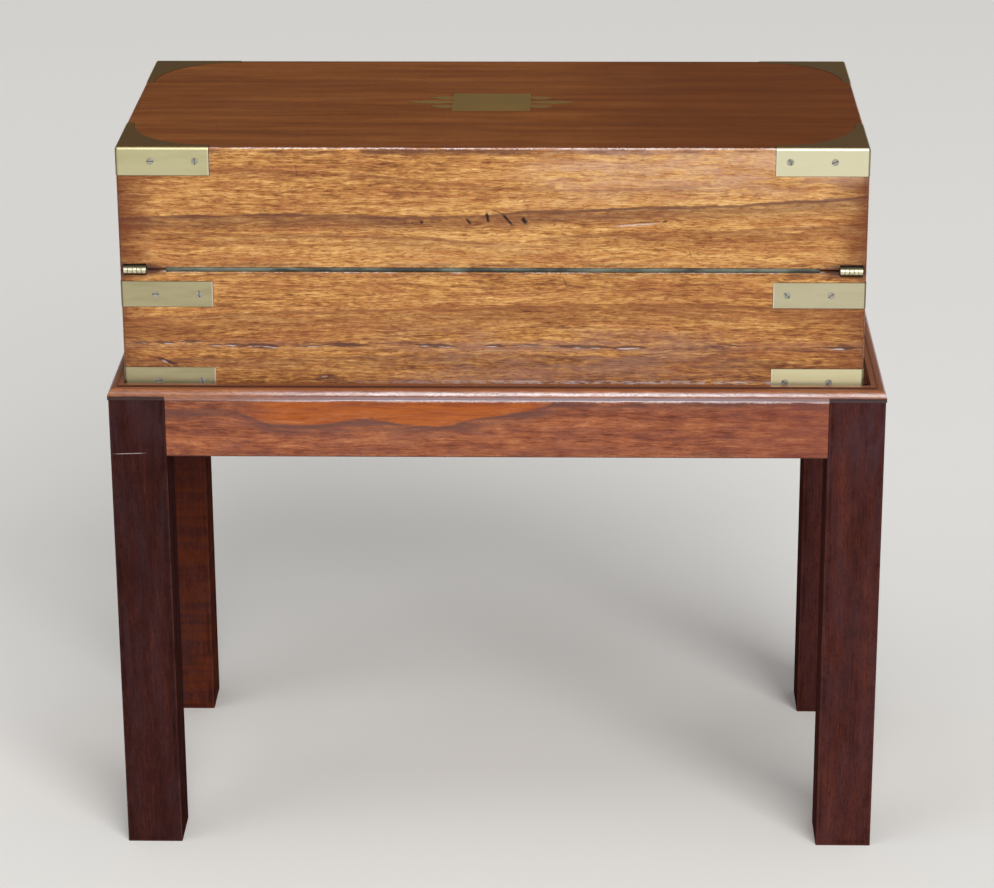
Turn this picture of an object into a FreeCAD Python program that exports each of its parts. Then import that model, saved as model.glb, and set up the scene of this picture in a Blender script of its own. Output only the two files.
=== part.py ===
import FreeCAD, Part

import math
import os

# A brass-bound campaign writing box that sits in a four-legged stand. Millimetres.
# +X runs along the box, -Y is the hinge side that the writer faces, +Y is the lock side, +Z is up.
# The origin is on the floor, under the middle of the stand.
# The box is modelled about the same middle and then moved to where it lies, at the left of its loose lip.

V = FreeCAD.Vector
ALONG = V(1, 0, 0)
ACROSS = V(0, 1, 0)
UP = V(0, 0, 1)
ORIGIN = V(0, 0, 0)
EIGHTH_TURN_SHARE = math.sqrt(0.5)
QUARTER_TURN_DEG = 90

# Box, outside
box_width = 508.0
box_depth = 241.0
box_height = 176.0
wall = 12.0
top_thickness = 10.0
bottom_thickness = 8.0
outer_arris = 2.0

# The slanting saw cut between base and lid
base_hinge_side_height = 89.0
base_lock_side_height = 124.0
hinge_side_gap = 1.8
lock_side_gap = 0.4

# Stand
stand_height = 338.0
leg_side = 39.0
leg_arris = 1.0
rail_height = 41.3
rail_thickness = 20.0
rail_arris = 0.8
tenon_thickness = 8.0
tenon_shoulder = 6.0
tenon_end_wood = 3.0
tenon_setback = 6.0
tenon_fit = 0.1

# Lip moulding that keeps the box on the stand
lip_width = 10.5
lip_height = 8.8
lip_overhang = 0.5
lip_fillet_width = 3.6
lip_quirk_width = 0.6
lip_quirk_depth = 1.2
lip_nose_height = 2.8
lip_to_box = 3.0
box_off_centre = 2.4

# Brass mounts let into the wood
brass_thickness = 1.2
brass_proud = 0.3
strap_length = 63.0
strap_height = 18.0
corner_strap_height = 19.5
strap_drop = 7.6
spandrel_end_width = 5.7

# Countersunk slotted screws
screw_head_radius = 2.4
screw_head_depth = 1.7
screw_shank_radius = 1.2
screw_length = 9.0
screw_slot_width = 0.7
screw_slot_depth = 0.6
screw_first_place = 23.5
screw_second_place = 53.5
screw_fit = 0.05
screw_slot_turn_deg = 137.5

# Name plate, left bare, let in a little to the left of the middle
plate_body_length = 55.0
plate_body_width = 47.0
plate_lobe_length = 15.5
plate_finial_length = 31.5
plate_neck = 3.5
plate_off_centre = 3.0
plate_leaf_belly_share = 0.5
plate_lobe_place_share = 0.25

# Butt hinges at the two ends of the joint
hinge_length = 15.5
hinge_end_inset = 2.5
hinge_leaf_width = 9.5
hinge_leaf_thickness = 1.2
hinge_leaf_fit = 0.05
hinge_barrel_radius = 2.5
hinge_pin_radius = 1.0
hinge_pin_fit = 0.05
hinge_barrel_relief = 0.5
hinge_axis_proud = 1.0
hinge_knuckles = 5
hinge_knuckle_gap = 0.12
hinge_screw_head_radius = 1.7
hinge_screw_shank_radius = 0.9
hinge_screw_length = 7.0
hinge_screw_spacing = 8.0
hinge_screw_share = 0.62

# Leather
leather_end_margin = 31.5
leather_thickness = 1.0
leather_ply = 0.9
leather_bed_depth = 0.9
leather_margin = 19.0
leather_side_fit = 0.25
leather_fold_inset = 1.2
leather_rim_fit = 0.15

# Writing flaps
flap_thickness = 8.0
flap_set = 0.5
flap_side_fit = 0.6
flap_rest_fit = 0.2
flap_edge_fit = 0.4
flap_bevel_deg = 54.0
ledge_width = 8.0
ledge_height = 9.0
tab_width = 14.0
tab_length = 24.0
tab_thickness = 1.0
tab_fit = 0.3
tab_overhang = 10.0

# Fittings of the base, on the lock side
compartment_depth = 72.0
divider_thickness = 8.0
divider_seat = 4.0
partition_thickness = 6.0
well_bay_width = 69.0
partition_set = 3.0
shelf_thickness = 6.0
cap_room = 9.0
fitting_gap = 0.4

# Pen tray
tray_height = 20.0
tray_set = 3.5
tray_scoop_depth = 11.0
tray_rim = 5.0
tray_box_length = 62.0
tray_box_depth = 13.0
bearer_width = 7.0
bearer_height = 8.0

# Inkwells
well_side = 42.0
well_height = 38.0
well_wall = 5.0
well_corner = 4.0
well_neck_radius = 13.0
well_hollow_radius = 10.5
well_neck_height = 5.0
cap_radius = 16.0
cap_height = 11.0
cap_fit = 0.3
cap_edge = 2.0

# Catch rail of the lid flap
catch_rail_width = 16.0
catch_rail_height = 12.0
catch_gap = 1.3
catch_width = 10.0
catch_height = 7.0
catch_thickness = 0.6

# Lock
lock_cover = 1.7
lock_depth = 30.0
lock_skin = 1.2
lock_plate_width = 7.0
lock_plate_thickness = 1.5
lock_plate_fit = 0.1
staple_spacing = 24.0
staple_thickness = 2.0
staple_width = 4.2
staple_length = 9.0
staple_eye_height = 3.8
staple_eye_width = 2.3
staple_slot_fit = 0.7
bolt_thickness = 1.5
bolt_height = 6.0
bolt_rise = 2.6
bolt_finger = 4.2
bolt_post = 3.0
bolt_tip_gap = 0.8
bolt_travel = 4.5
bolt_end_gap = 1.0
bolt_back_gap = 0.8
key_hole_radius = 2.2
key_slot_width = 2.0
key_slot_length = 8.0
escutcheon_width = 13.0
escutcheon_height = 20.0
escutcheon_thickness = 1.2
escutcheon_fit = 0.05
key_drop = 20.0

# Flush handles on the ends
handle_height = 54.0
handle_to_strap = 11.5
handle_flange = 6.0
handle_plate_corner = 6.0
handle_pan_height = 30.0
handle_pan_skin = 1.1
handle_pan_fit = 0.2
bail_bar_radius = 2.3
bail_pin_radius = 1.6
bail_pin_fit = 0.06
bail_side_room = 0.75
bail_top_room = 1.9
bail_foot_room = 3.1
bail_shoulder = 3.6
bail_corner = 6.0
bail_ear_length = 5.0
bail_ear_height = 7.0
bail_ear_gap = 0.3

# One overrun for every cut that runs through a face
through = 5.0

# Angle in radians within which two directions count as parallel
parallel_tolerance = 1e-6

# Derived places
half_width = box_width / 2
half_depth = box_depth / 2
box_floor = stand_height
box_top = box_floor + box_height
inner_half_width = half_width - wall
inner_half_depth = half_depth - wall
stand_width = box_width + 2 * (lip_to_box + lip_width - lip_overhang)
stand_depth = box_depth + 2 * (lip_to_box + lip_width - lip_overhang)
base_rim = box_floor + base_hinge_side_height
lid_rim = base_rim + hinge_side_gap
base_slope = math.atan2(base_lock_side_height - base_hinge_side_height, box_depth)
lid_slope = math.atan2(
    base_lock_side_height + lock_side_gap - base_hinge_side_height - hinge_side_gap, box_depth
)
hinge_axis_y = -half_depth - hinge_axis_proud
hinge_axis_z = base_rim + hinge_side_gap / 2
divider_y = inner_half_depth - compartment_depth - divider_thickness
bay_y = divider_y + divider_thickness
rail_bottom = stand_height - rail_height
tenon_height = rail_height - 2 * tenon_shoulder
tenon_length = leg_side - tenon_setback - tenon_thickness - tenon_end_wood
lip_reach_x = half_width + lip_to_box + lip_width
lip_reach_y = half_depth + lip_to_box + lip_width
flap_width = 2 * (inner_half_width - flap_side_fit)
leather_width = box_width - 2 * leather_end_margin
partition_place = inner_half_width - well_bay_width - partition_thickness / 2
shelf_top = base_rim + (bay_y + half_depth) * math.tan(base_slope) - cap_room - cap_height - well_height
tray_width = compartment_depth / math.cos(base_slope)
tray_scoop_radius = (tray_width - 2 * fitting_gap - 3 * tray_rim) / 4
lock_thickness = wall - lock_cover - escutcheon_thickness + brass_proud
bolt_reach = staple_spacing / 2 + staple_thickness / 2 + bolt_tip_gap + bolt_finger + bolt_post
lock_width = 2 * (bolt_reach + bolt_back_gap + lock_skin)
handle_plate_length = box_depth - 2 * (strap_length + handle_to_strap)
handle_plate_height = handle_pan_height + 2 * handle_flange
handle_pan_length = handle_plate_length - 2 * handle_flange
handle_pan_depth = handle_pan_skin + 2 * (bail_bar_radius + bail_side_room)
pan_inner_length = handle_pan_length - 2 * handle_pan_skin
pan_inner_height = handle_pan_height - 2 * handle_pan_skin
bail_span = pan_inner_length - 2 * (bail_ear_length + bail_ear_gap + bail_shoulder)
bail_pivot_rise = pan_inner_height / 2 - bail_top_room - bail_ear_height / 2
bail_drop = bail_pivot_rise + pan_inner_height / 2 - bail_foot_room - bail_bar_radius


def block(x_span, y_span, z_span):
    """A box between two values on each axis."""
    corner = V(x_span[0], y_span[0], z_span[0])
    return Part.makeBox(x_span[1] - x_span[0], y_span[1] - y_span[0], z_span[1] - z_span[0], corner)


def span(start, length):
    """Both ends of a stretch that starts at a value."""
    return (start, start + length)


def centred(middle, width):
    """Both ends of a stretch about a middle."""
    return (middle - width / 2, middle + width / 2)


def ordered(first, second):
    """Both ends of a stretch, the lower one first."""
    return (min(first, second), max(first, second))


def extruded(points, direction):
    """A prism with a flat polygon as its end."""
    face = Part.Face(Part.makePolygon(points + [points[0]]))
    return face.extrude(direction)


def plan_prism(outline, z_span):
    """A prism that stands on a plan outline of (x, y) points."""
    points = [V(x, y, z_span[0]) for x, y in outline]
    return extruded(points, V(0, 0, z_span[1] - z_span[0]))


def side_prism(outline, x_span):
    """A prism along X with a section of (y, z) points."""
    points = [V(x_span[0], y, z) for y, z in outline]
    return extruded(points, V(x_span[1] - x_span[0], 0, 0))


def mirrored_x(shape):
    return shape.mirror(ORIGIN, ALONG)


def mirrored_y(shape):
    return shape.mirror(ORIGIN, ACROSS)


def both_ends(shape):
    return [shape, mirrored_x(shape)]


def fused(shapes):
    result = shapes[0]
    for shape in shapes[1:]:
        result = result.fuse(shape)
    return result.removeSplitter()


def cut_by(shape, cutters):
    """The shape without the cutters that reach it."""
    near = [cutter for cutter in cutters if cutter.BoundBox.intersect(shape.BoundBox)]
    if near:
        shape = shape.cut(near)
    return shape


def edges_along(shape, direction):
    """The straight edges of a shape that run along a direction."""
    found = []
    for edge in shape.Edges:
        if isinstance(edge.Curve, Part.Line):
            tangent = edge.tangentAt(edge.FirstParameter)
            if tangent.isParallel(direction, parallel_tolerance):
                found.append(edge)
    return found


def laid_on_base_slope(shape):
    """Moves a shape from the slope's own frame to the rim of the base."""
    shape = shape.copy()
    shape.rotate(ORIGIN, ALONG, math.degrees(base_slope))
    shape.translate(V(0, -half_depth, base_rim))
    return shape


def laid_on_lid_slope(shape):
    """Moves a shape from the slope's own frame to the rim of the lid."""
    shape = shape.copy()
    shape.rotate(ORIGIN, ALONG, math.degrees(lid_slope))
    shape.translate(V(0, -half_depth, lid_rim))
    return shape


def base_rim_at(y):
    return base_rim + (y + half_depth) * math.tan(base_slope)


def lid_rim_at(y):
    return lid_rim + (y + half_depth) * math.tan(lid_slope)


def turned_to(shape, direction, place):
    """Turns a shape that points along +Z to a direction and moves it to its place."""
    shape = shape.copy()
    placement = FreeCAD.Placement(place, FreeCAD.Rotation(UP, direction))
    shape.Placement = placement.multiply(shape.Placement)
    return shape


# Stand


def stand_leg():
    """The leg at the left hinge-side corner, with a mortise for each of its two rails."""
    x_outer = -stand_width / 2
    y_outer = -stand_depth / 2
    leg = block((x_outer, x_outer + leg_side), (y_outer, y_outer + leg_side), (0, stand_height))
    leg = leg.makeFillet(leg_arris, edges_along(leg, UP))
    return leg.cut([front_mortise(x_outer, y_outer), side_mortise(x_outer, y_outer)])


def tenon_z_span(fit):
    return centred(stand_height - rail_height / 2, tenon_height + 2 * fit)


def front_mortise(x_outer, y_outer):
    x_span = (x_outer + leg_side - tenon_length - tenon_fit, x_outer + leg_side + through)
    y_span = span(y_outer + tenon_setback - tenon_fit, tenon_thickness + 2 * tenon_fit)
    return block(x_span, y_span, tenon_z_span(tenon_fit))


def side_mortise(x_outer, y_outer):
    x_span = span(x_outer + tenon_setback - tenon_fit, tenon_thickness + 2 * tenon_fit)
    y_span = (y_outer + leg_side - tenon_length - tenon_fit, y_outer + leg_side + through)
    return block(x_span, y_span, tenon_z_span(tenon_fit))


def long_rail():
    """The rail along the hinge side, with a tenon at each end."""
    y_outer = -stand_depth / 2
    shoulder = stand_width / 2 - leg_side
    rail = block((-shoulder, shoulder), span(y_outer, rail_thickness), (rail_bottom, stand_height))
    rail = rail.makeFillet(rail_arris, lower_edges(rail, ALONG))
    reach = shoulder + tenon_length
    tenon = block((-reach, reach), span(y_outer + tenon_setback, tenon_thickness), tenon_z_span(0))
    return fused([rail, tenon])


def side_rail():
    """The rail along the left end, with a tenon at each end."""
    x_outer = -stand_width / 2
    shoulder = stand_depth / 2 - leg_side
    rail = block(span(x_outer, rail_thickness), (-shoulder, shoulder), (rail_bottom, stand_height))
    rail = rail.makeFillet(rail_arris, lower_edges(rail, ACROSS))
    reach = shoulder + tenon_length
    tenon = block(span(x_outer + tenon_setback, tenon_thickness), (-reach, reach), tenon_z_span(0))
    return fused([rail, tenon])


def lower_edges(rail, direction):
    """The two bottom edges of a rail."""
    middle = stand_height - rail_height / 2
    return [edge for edge in edges_along(rail, direction) if edge.CenterOfMass.z < middle]


def lip_section(start):
    """The moulding's section in the YZ plane: a flat fillet, a quirk, an ovolo and a low nose."""
    outer_y = -lip_reach_y
    inner_y = outer_y + lip_width
    top = stand_height + lip_height
    fillet_y = inner_y - lip_fillet_width
    quirk_y = fillet_y - lip_quirk_width
    quirk_z = top - lip_quirk_depth
    nose_z = stand_height + lip_nose_height
    round_y = quirk_y - (quirk_y - outer_y) * EIGHTH_TURN_SHARE
    round_z = nose_z + (quirk_z - nose_z) * EIGHTH_TURN_SHARE
    arc = Part.Arc(V(start, quirk_y, quirk_z), V(start, round_y, round_z), V(start, outer_y, nose_z))
    outline = [(outer_y, nose_z), (outer_y, stand_height), (inner_y, stand_height), (inner_y, top)]
    outline += [(fillet_y, top), (fillet_y, quirk_z), (quirk_y, quirk_z)]
    straight = Part.makePolygon([V(start, y, z) for y, z in outline])
    return Part.Face(Part.Wire(straight.Edges + [arc.toShape()]))


def long_lip():
    """The moulding along the hinge side, mitred at both ends."""
    start = lip_reach_x + through
    bar = lip_section(-start).extrude(V(2 * start, 0, 0))
    x = lip_reach_x
    y = lip_reach_y
    inner = lip_width + through
    outline = [(-x, -y), (x, -y), (x - inner, inner - y), (inner - x, inner - y)]
    return bar.common(plan_prism(outline, span(stand_height, lip_height + through)))


def side_lip():
    """The moulding along the left end, from the same section."""
    start = lip_reach_y + through
    bar = lip_section(-start).extrude(V(2 * start, 0, 0))
    bar.rotate(ORIGIN, UP, -QUARTER_TURN_DEG)
    bar.translate(V(half_depth - half_width, 0, 0))
    x = lip_reach_x
    y = lip_reach_y
    inner = lip_width + through
    outline = [(-x, -y), (-x, y), (inner - x, y - inner), (inner - x, inner - y)]
    return bar.common(plan_prism(outline, span(stand_height, lip_height + through)))


def stand_nodes():
    leg = stand_leg()
    rail = long_rail()
    end_rail = side_rail()
    lip = long_lip()
    end_lip = side_lip()
    return {
        "leg_left_hinge_side": leg,
        "leg_right_hinge_side": mirrored_x(leg),
        "leg_left_lock_side": mirrored_y(leg),
        "leg_right_lock_side": mirrored_x(mirrored_y(leg)),
        "rail_hinge_side": rail,
        "rail_lock_side": mirrored_y(rail),
        "rail_left": end_rail,
        "rail_right": mirrored_x(end_rail),
        "lip_hinge_side": lip,
        "lip_lock_side": mirrored_y(lip),
        "lip_left": end_lip,
        "lip_right": mirrored_x(end_lip),
    }


# Carcass of the box


def outer_block(growth):
    """The whole closed box with its rounded arrises, grown by an amount on every visible face."""
    x_span = centred(0, box_width + 2 * growth)
    y_span = centred(0, box_depth + 2 * growth)
    solid = block(x_span, y_span, (box_floor, box_top + growth))
    rounded = edges_along(solid, UP)
    level = edges_along(solid, ALONG) + edges_along(solid, ACROSS)
    rounded += [edge for edge in level if edge.CenterOfMass.z > base_rim]
    return solid.makeFillet(outer_arris + growth, rounded)


def below_base_cut():
    y = half_depth + through
    outline = [(-y, box_floor), (y, box_floor), (y, base_rim_at(y)), (-y, base_rim_at(-y))]
    return side_prism(outline, (-half_width - through, half_width + through))


def above_lid_cut():
    y = half_depth + through
    top = box_top + through
    outline = [(-y, lid_rim_at(-y)), (y, lid_rim_at(y)), (y, top), (-y, top)]
    return side_prism(outline, (-half_width - through, half_width + through))


def whole_plan():
    """X and Y spans that reach past every side of the box."""
    x = half_width + through
    y = half_depth + through
    return (-x, x), (-y, y)


def wall_regions(z_span):
    """Plan regions of the four walls, mitred at the corners."""
    x = half_width
    y = half_depth
    outer = [(-x, -y), (x, -y), (x, y), (-x, y)]
    inner = [(-x + wall, -y + wall), (x - wall, -y + wall), (x - wall, y - wall), (-x + wall, y - wall)]
    sides = ("hinge_side", "right", "lock_side", "left")
    regions = {}
    for index, side in enumerate(sides):
        after = (index + 1) % len(sides)
        outline = [outer[index], outer[after], inner[after], inner[index]]
        regions[side] = plan_prism(outline, z_span)
    return regions


def base_boards():
    body = outer_block(0)
    base = body.common(below_base_cut())
    floor_top = box_floor + bottom_thickness
    boards = {}
    boards["base_bottom"] = base.common(block(*whole_plan(), (box_floor, floor_top)))
    for side, region in wall_regions((floor_top, box_top)).items():
        boards["base_wall_" + side] = base.common(region)
    return boards


def plan_rectangle(growth, z):
    """A level rectangle, larger than the inside of the walls by an amount on every side."""
    x = inner_half_width + growth
    y = inner_half_depth + growth
    corners = [V(-x, -y, z), V(x, -y, z), V(x, y, z), V(-x, y, z)]
    return Part.makePolygon(corners + [corners[0]])


def mitred_top():
    """Region of the top board: its mitres run from the inner edges of the walls to the outer arrises."""
    rise = top_thickness + through
    lower = plan_rectangle(0, box_top - top_thickness)
    upper = plan_rectangle(wall * rise / top_thickness, box_top + through)
    return Part.makeLoft([lower, upper], True, True)


def lid_boards():
    body = outer_block(0)
    lid = body.common(above_lid_cut())
    top = mitred_top()
    boards = {}
    boards["lid_top"] = lid.common(top)
    for side, region in wall_regions((box_floor, box_top)).items():
        boards["lid_wall_" + side] = lid.common(region).cut(top)
    return boards


# Brass mounts


def brass_skin():
    """A thin shell round the whole box, from which each inlaid mount is taken."""
    return outer_block(brass_proud).cut(outer_block(brass_proud - brass_thickness))


def corner_band(z_span):
    """Both arms of a strap round the left hinge-side corner, at the given height."""
    x = -half_width - brass_proud
    y = -half_depth - brass_proud
    depth = outer_arris + brass_proud + brass_thickness
    x_arm = block((x, -half_width + strap_length), (y, y + depth), z_span)
    y_arm = block((x, x + depth), (y, -half_depth + strap_length), z_span)
    return x_arm.fuse(y_arm)


def spandrel():
    """The top of a corner mount: two arms with blunt ends and a hollow quarter circle between them."""
    x = -half_width
    y = -half_depth
    edge_x = x - brass_proud
    edge_y = y - brass_proud
    z = box_top - brass_thickness + brass_proud
    far_x = x + strap_length
    far_y = y + strap_length
    radius = strap_length - spandrel_end_width
    middle = V(far_x - radius * EIGHTH_TURN_SHARE, far_y - radius * EIGHTH_TURN_SHARE, z)
    corners = [V(far_x, y + spandrel_end_width, z), V(far_x, edge_y, z), V(edge_x, edge_y, z)]
    corners += [V(edge_x, far_y, z), V(x + spandrel_end_width, far_y, z)]
    arc = Part.Arc(corners[-1], middle, corners[0])
    wire = Part.Wire(Part.makePolygon(corners).Edges + [arc.toShape()])
    return Part.Face(wire).extrude(V(0, 0, brass_thickness))


def top_corner_mount():
    band = corner_band((box_top - corner_strap_height, box_top + brass_proud))
    return brass_skin().common(fused([spandrel(), band]))


def strap_top(corner_y):
    """Height of a middle strap's top: below the lowest part of the rim that it runs beside."""
    arm_end_y = corner_y - math.copysign(strap_length, corner_y)
    return min(base_rim_at(corner_y), base_rim_at(arm_end_y)) - strap_drop


def middle_strap(corner_y):
    """The strap round a left corner, just below the joint."""
    top = strap_top(corner_y)
    band = corner_band((top - strap_height, top))
    if corner_y > 0:
        band = mirrored_y(band)
    return brass_skin().common(band)


def bottom_strap():
    return brass_skin().common(corner_band((box_floor, box_floor + corner_strap_height)))


def name_plate():
    """A bare plate in the middle of the top, with a finial and two lobes at each end."""
    body = block(centred(0, plate_body_length), centred(0, plate_body_width), (0, brass_thickness))
    root = plate_body_length / 2 - plate_neck
    lobe_y = plate_body_width * plate_lobe_place_share
    leaves = [leaf(root, plate_finial_length, 0)]
    for side in (-1, 1):
        leaves.append(leaf(root, plate_lobe_length, side * lobe_y))
    ends = fused(leaves)
    plate = fused([body, ends, mirrored_x(ends)])
    plate.translate(V(-plate_off_centre, 0, box_top + brass_proud - brass_thickness))
    return plate


def leaf(root_x, length, y):
    """A pointed leaf along +X, from inside the plate to a length beyond its end."""
    tip_x = root_x + plate_neck + length
    belly_x = root_x + (tip_x - root_x) * plate_leaf_belly_share
    upper = Part.Arc(V(root_x, y, 0), V(belly_x, y + plate_neck, 0), V(tip_x, y, 0))
    lower = Part.Arc(V(tip_x, y, 0), V(belly_x, y - plate_neck, 0), V(root_x, y, 0))
    face = Part.Face(Part.Wire([upper.toShape(), lower.toShape()]))
    return face.extrude(V(0, 0, brass_thickness))


# Screws


def screw_blank(head_radius, shank_radius, length, fit):
    """A countersunk screw pointing down, its head's face at zero; fit grows it into its hole."""
    neck = V(0, 0, -screw_head_depth)
    head = Part.makeCone(shank_radius + fit, head_radius + fit, screw_head_depth, neck)
    shank = Part.makeCylinder(shank_radius + fit, length + fit, V(0, 0, -length - fit))
    return head.fuse(shank).removeSplitter()


def screw_and_hole(place, direction, turn, head_radius, shank_radius, length):
    """A slotted screw whose head faces the direction, and the hole that it needs."""
    blank = screw_blank(head_radius, shank_radius, length, 0)
    slot = block(
        (-head_radius - through, head_radius + through),
        (-screw_slot_width / 2, screw_slot_width / 2),
        (-screw_slot_depth, screw_slot_depth),
    )
    slot.rotate(ORIGIN, UP, turn)
    hole = screw_blank(head_radius, shank_radius, length, screw_fit)
    mouth = Part.makeCylinder(head_radius + screw_fit, brass_thickness)
    hole = hole.fuse(mouth)
    return turned_to(blank.cut(slot), direction, place), turned_to(hole, direction, place)


def strap_screw_places(z, corner_x, corner_y):
    """Two screws on each face of a corner strap, as (place, outward direction)."""
    places = []
    for distance in (screw_first_place, screw_second_place):
        x = corner_x - math.copysign(distance, corner_x)
        y = corner_y - math.copysign(distance, corner_y)
        y_face = corner_y + math.copysign(brass_proud, corner_y)
        x_face = corner_x + math.copysign(brass_proud, corner_x)
        places.append((V(x, y_face, z), V(0, math.copysign(1, corner_y), 0)))
        places.append((V(x_face, y, z), V(math.copysign(1, corner_x), 0, 0)))
    return places


def screw_group(places, head_radius, shank_radius, length):
    screws = []
    holes = []
    for index, (place, direction) in enumerate(places):
        turn = index * screw_slot_turn_deg
        screw, hole = screw_and_hole(place, direction, turn, head_radius, shank_radius, length)
        screws.append(screw)
        holes.append(hole)
    return screws, holes


def corners():
    return [(x, y) for x in (-half_width, half_width) for y in (-half_depth, half_depth)]


def lid_strap_screws():
    places = []
    for x, y in corners():
        places += strap_screw_places(box_top - corner_strap_height / 2, x, y)
    return screw_group(places, screw_head_radius, screw_shank_radius, screw_length)


def base_strap_screws():
    places = []
    for x, y in corners():
        places += strap_screw_places(strap_top(y) - strap_height / 2, x, y)
        places += strap_screw_places(box_floor + corner_strap_height / 2, x, y)
    return screw_group(places, screw_head_radius, screw_shank_radius, screw_length)


# Hinges


def hinge_x_span():
    start = -half_width + hinge_end_inset
    return (start, start + hinge_length)


def knuckle_spans():
    """The X span of each knuckle of the left hinge."""
    start, end = hinge_x_span()
    pitch = (end - start) / hinge_knuckles
    length = pitch - hinge_knuckle_gap
    return [span(start + index * pitch + hinge_knuckle_gap / 2, length) for index in range(hinge_knuckles)]


def axis_cylinder(radius, x_span):
    start = V(x_span[0], hinge_axis_y, hinge_axis_z)
    return Part.makeCylinder(radius, x_span[1] - x_span[0], start, ALONG)


def hinge_leaf(is_base):
    """One leaf of the left hinge with its knuckles; the base has the odd ones."""
    n_span = (-hinge_leaf_thickness, 0) if is_base else (0, hinge_leaf_thickness)
    plate = block(hinge_x_span(), (0, hinge_leaf_width), n_span)
    plate = laid_on_base_slope(plate) if is_base else laid_on_lid_slope(plate)
    spans = knuckle_spans()
    own = spans[0::2] if is_base else spans[1::2]
    other = spans[1::2] if is_base else spans[0::2]
    knuckles = [axis_cylinder(hinge_barrel_radius, x_span) for x_span in own]
    relief = hinge_barrel_radius + hinge_barrel_relief
    clearance = hinge_knuckle_gap
    gaps = [axis_cylinder(relief, (low - clearance, high + clearance)) for low, high in other]
    start, end = hinge_x_span()
    bore = axis_cylinder(hinge_pin_radius + hinge_pin_fit, (start - through, end + through))
    leaf = fused([plate.cut(gaps)] + knuckles)
    return leaf.cut(bore)


def hinge_pin():
    return axis_cylinder(hinge_pin_radius, hinge_x_span())


def hinge_notch():
    """Wood cleared away round the barrel of the left hinge."""
    start, end = hinge_x_span()
    room = (start - hinge_barrel_relief, end + hinge_barrel_relief)
    return axis_cylinder(hinge_barrel_radius + hinge_barrel_relief, room)


def leaf_bed(is_base):
    """The recess of a hinge leaf in a rim, open towards the joint."""
    n_span = (-hinge_leaf_thickness, through) if is_base else (-through, hinge_leaf_thickness)
    start, end = hinge_x_span()
    x_span = (start - hinge_leaf_fit, end + hinge_leaf_fit)
    bed = block(x_span, (-through, hinge_leaf_width + hinge_leaf_fit), n_span)
    return laid_on_base_slope(bed) if is_base else laid_on_lid_slope(bed)


def hinge_screw_places(is_base):
    start, end = hinge_x_span()
    middle = (start + end) / 2
    places = []
    for offset in (-hinge_screw_spacing / 2, hinge_screw_spacing / 2):
        marker = Part.Vertex(V(middle + offset, hinge_leaf_width * hinge_screw_share, 0))
        marker = laid_on_base_slope(marker) if is_base else laid_on_lid_slope(marker)
        tilt = base_slope if is_base else lid_slope
        facing = V(0, -math.sin(tilt), math.cos(tilt))
        if not is_base:
            facing = facing * -1
        places.append((marker.Point, facing))
    return places


def hinge_screws(is_base):
    places = hinge_screw_places(is_base)
    places += [(V(-place.x, place.y, place.z), facing) for place, facing in places]
    return screw_group(places, hinge_screw_head_radius, hinge_screw_shank_radius, hinge_screw_length)


# Leather over the joint


def leather_fold():
    """The leather that joins the two writing surfaces, folded outwards between the rims."""
    outer = leather_bed_depth - leather_rim_fit + hinge_side_gap / 2
    inner = outer - leather_ply
    x = leather_width / 2
    centre = V(-x, leather_fold_inset, hinge_side_gap / 2)
    ring = Part.makeCylinder(outer, leather_width, centre, ALONG)
    ring = ring.cut(Part.makeCylinder(inner, leather_width, centre, ALONG))
    fold_y = (leather_fold_inset - outer, leather_fold_inset)
    ring = ring.common(block((-x, x), fold_y, (-through, through)))
    middle = hinge_side_gap / 2
    lower = block((-x, x), (leather_fold_inset, wall), (middle - outer, middle - inner))
    upper = block((-x, x), (leather_fold_inset, wall), (middle + inner, middle + outer))
    return laid_on_base_slope(fused([ring, lower, upper]))


def leather_bed(is_base):
    """A shallow bed in a hinge-side rim, in which the folded leather lies."""
    x_span = centred(0, leather_width + 2 * leather_side_fit)
    y_span = (-through, wall + through)
    if is_base:
        return laid_on_base_slope(block(x_span, y_span, (-leather_bed_depth, through)))
    return laid_on_lid_slope(block(x_span, y_span, (-through, leather_bed_depth)))


# Writing flaps


def interior():
    """The space between the four walls, the bottom board and the top board."""
    x = inner_half_width
    y = inner_half_depth
    return block((-x, x), (-y, y), (box_floor + bottom_thickness, box_top - top_thickness))


def flap_start():
    """Distance up the slope from the hinge-side face to a flap's turning edge."""
    return wall / math.cos(base_slope) + flap_edge_fit


def base_flap_end():
    """Distance up the slope to the free edge of the base flap, on its seat in the divider."""
    edge_y = divider_y + half_depth + divider_seat - flap_edge_fit
    return edge_y / math.cos(base_slope)


def lid_flap_end():
    return (box_depth - wall - catch_rail_width) / math.cos(lid_slope) - catch_gap


def flap_board(end, side):
    """A flap in the slope's frame; side is -1 under the base's rim and 1 above the lid's."""
    start = flap_start()
    bevel = flap_thickness * math.tan(math.radians(flap_bevel_deg))
    near = side * flap_set
    far = side * (flap_set + flap_thickness)
    outline = [(start, near), (end, near), (end, far), (start + bevel, far)]
    x = flap_width / 2
    return side_prism(outline, (-x, x))


def flap_leather(end, side, fit):
    """The leather panel of a flap; fit grows it into its recess."""
    x = leather_width / 2 + fit
    start = flap_start() if fit == 0 else flap_start() - through
    face = side * flap_set if fit == 0 else 0
    back = side * (flap_set + leather_thickness)
    return block((-x, x), (start, end - leather_margin + fit), ordered(face, back))


def flap_tab(end, side, fit):
    """A leather pull at the middle of a flap's free edge; fit grows it into its recess."""
    x = tab_width / 2 + fit
    start = end + tab_overhang - tab_length - fit
    face = side * flap_set if fit == 0 else 0
    back = side * (flap_set + tab_thickness + fit)
    return block((-x, x), (start, end + tab_overhang + fit), ordered(face, back))


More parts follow.
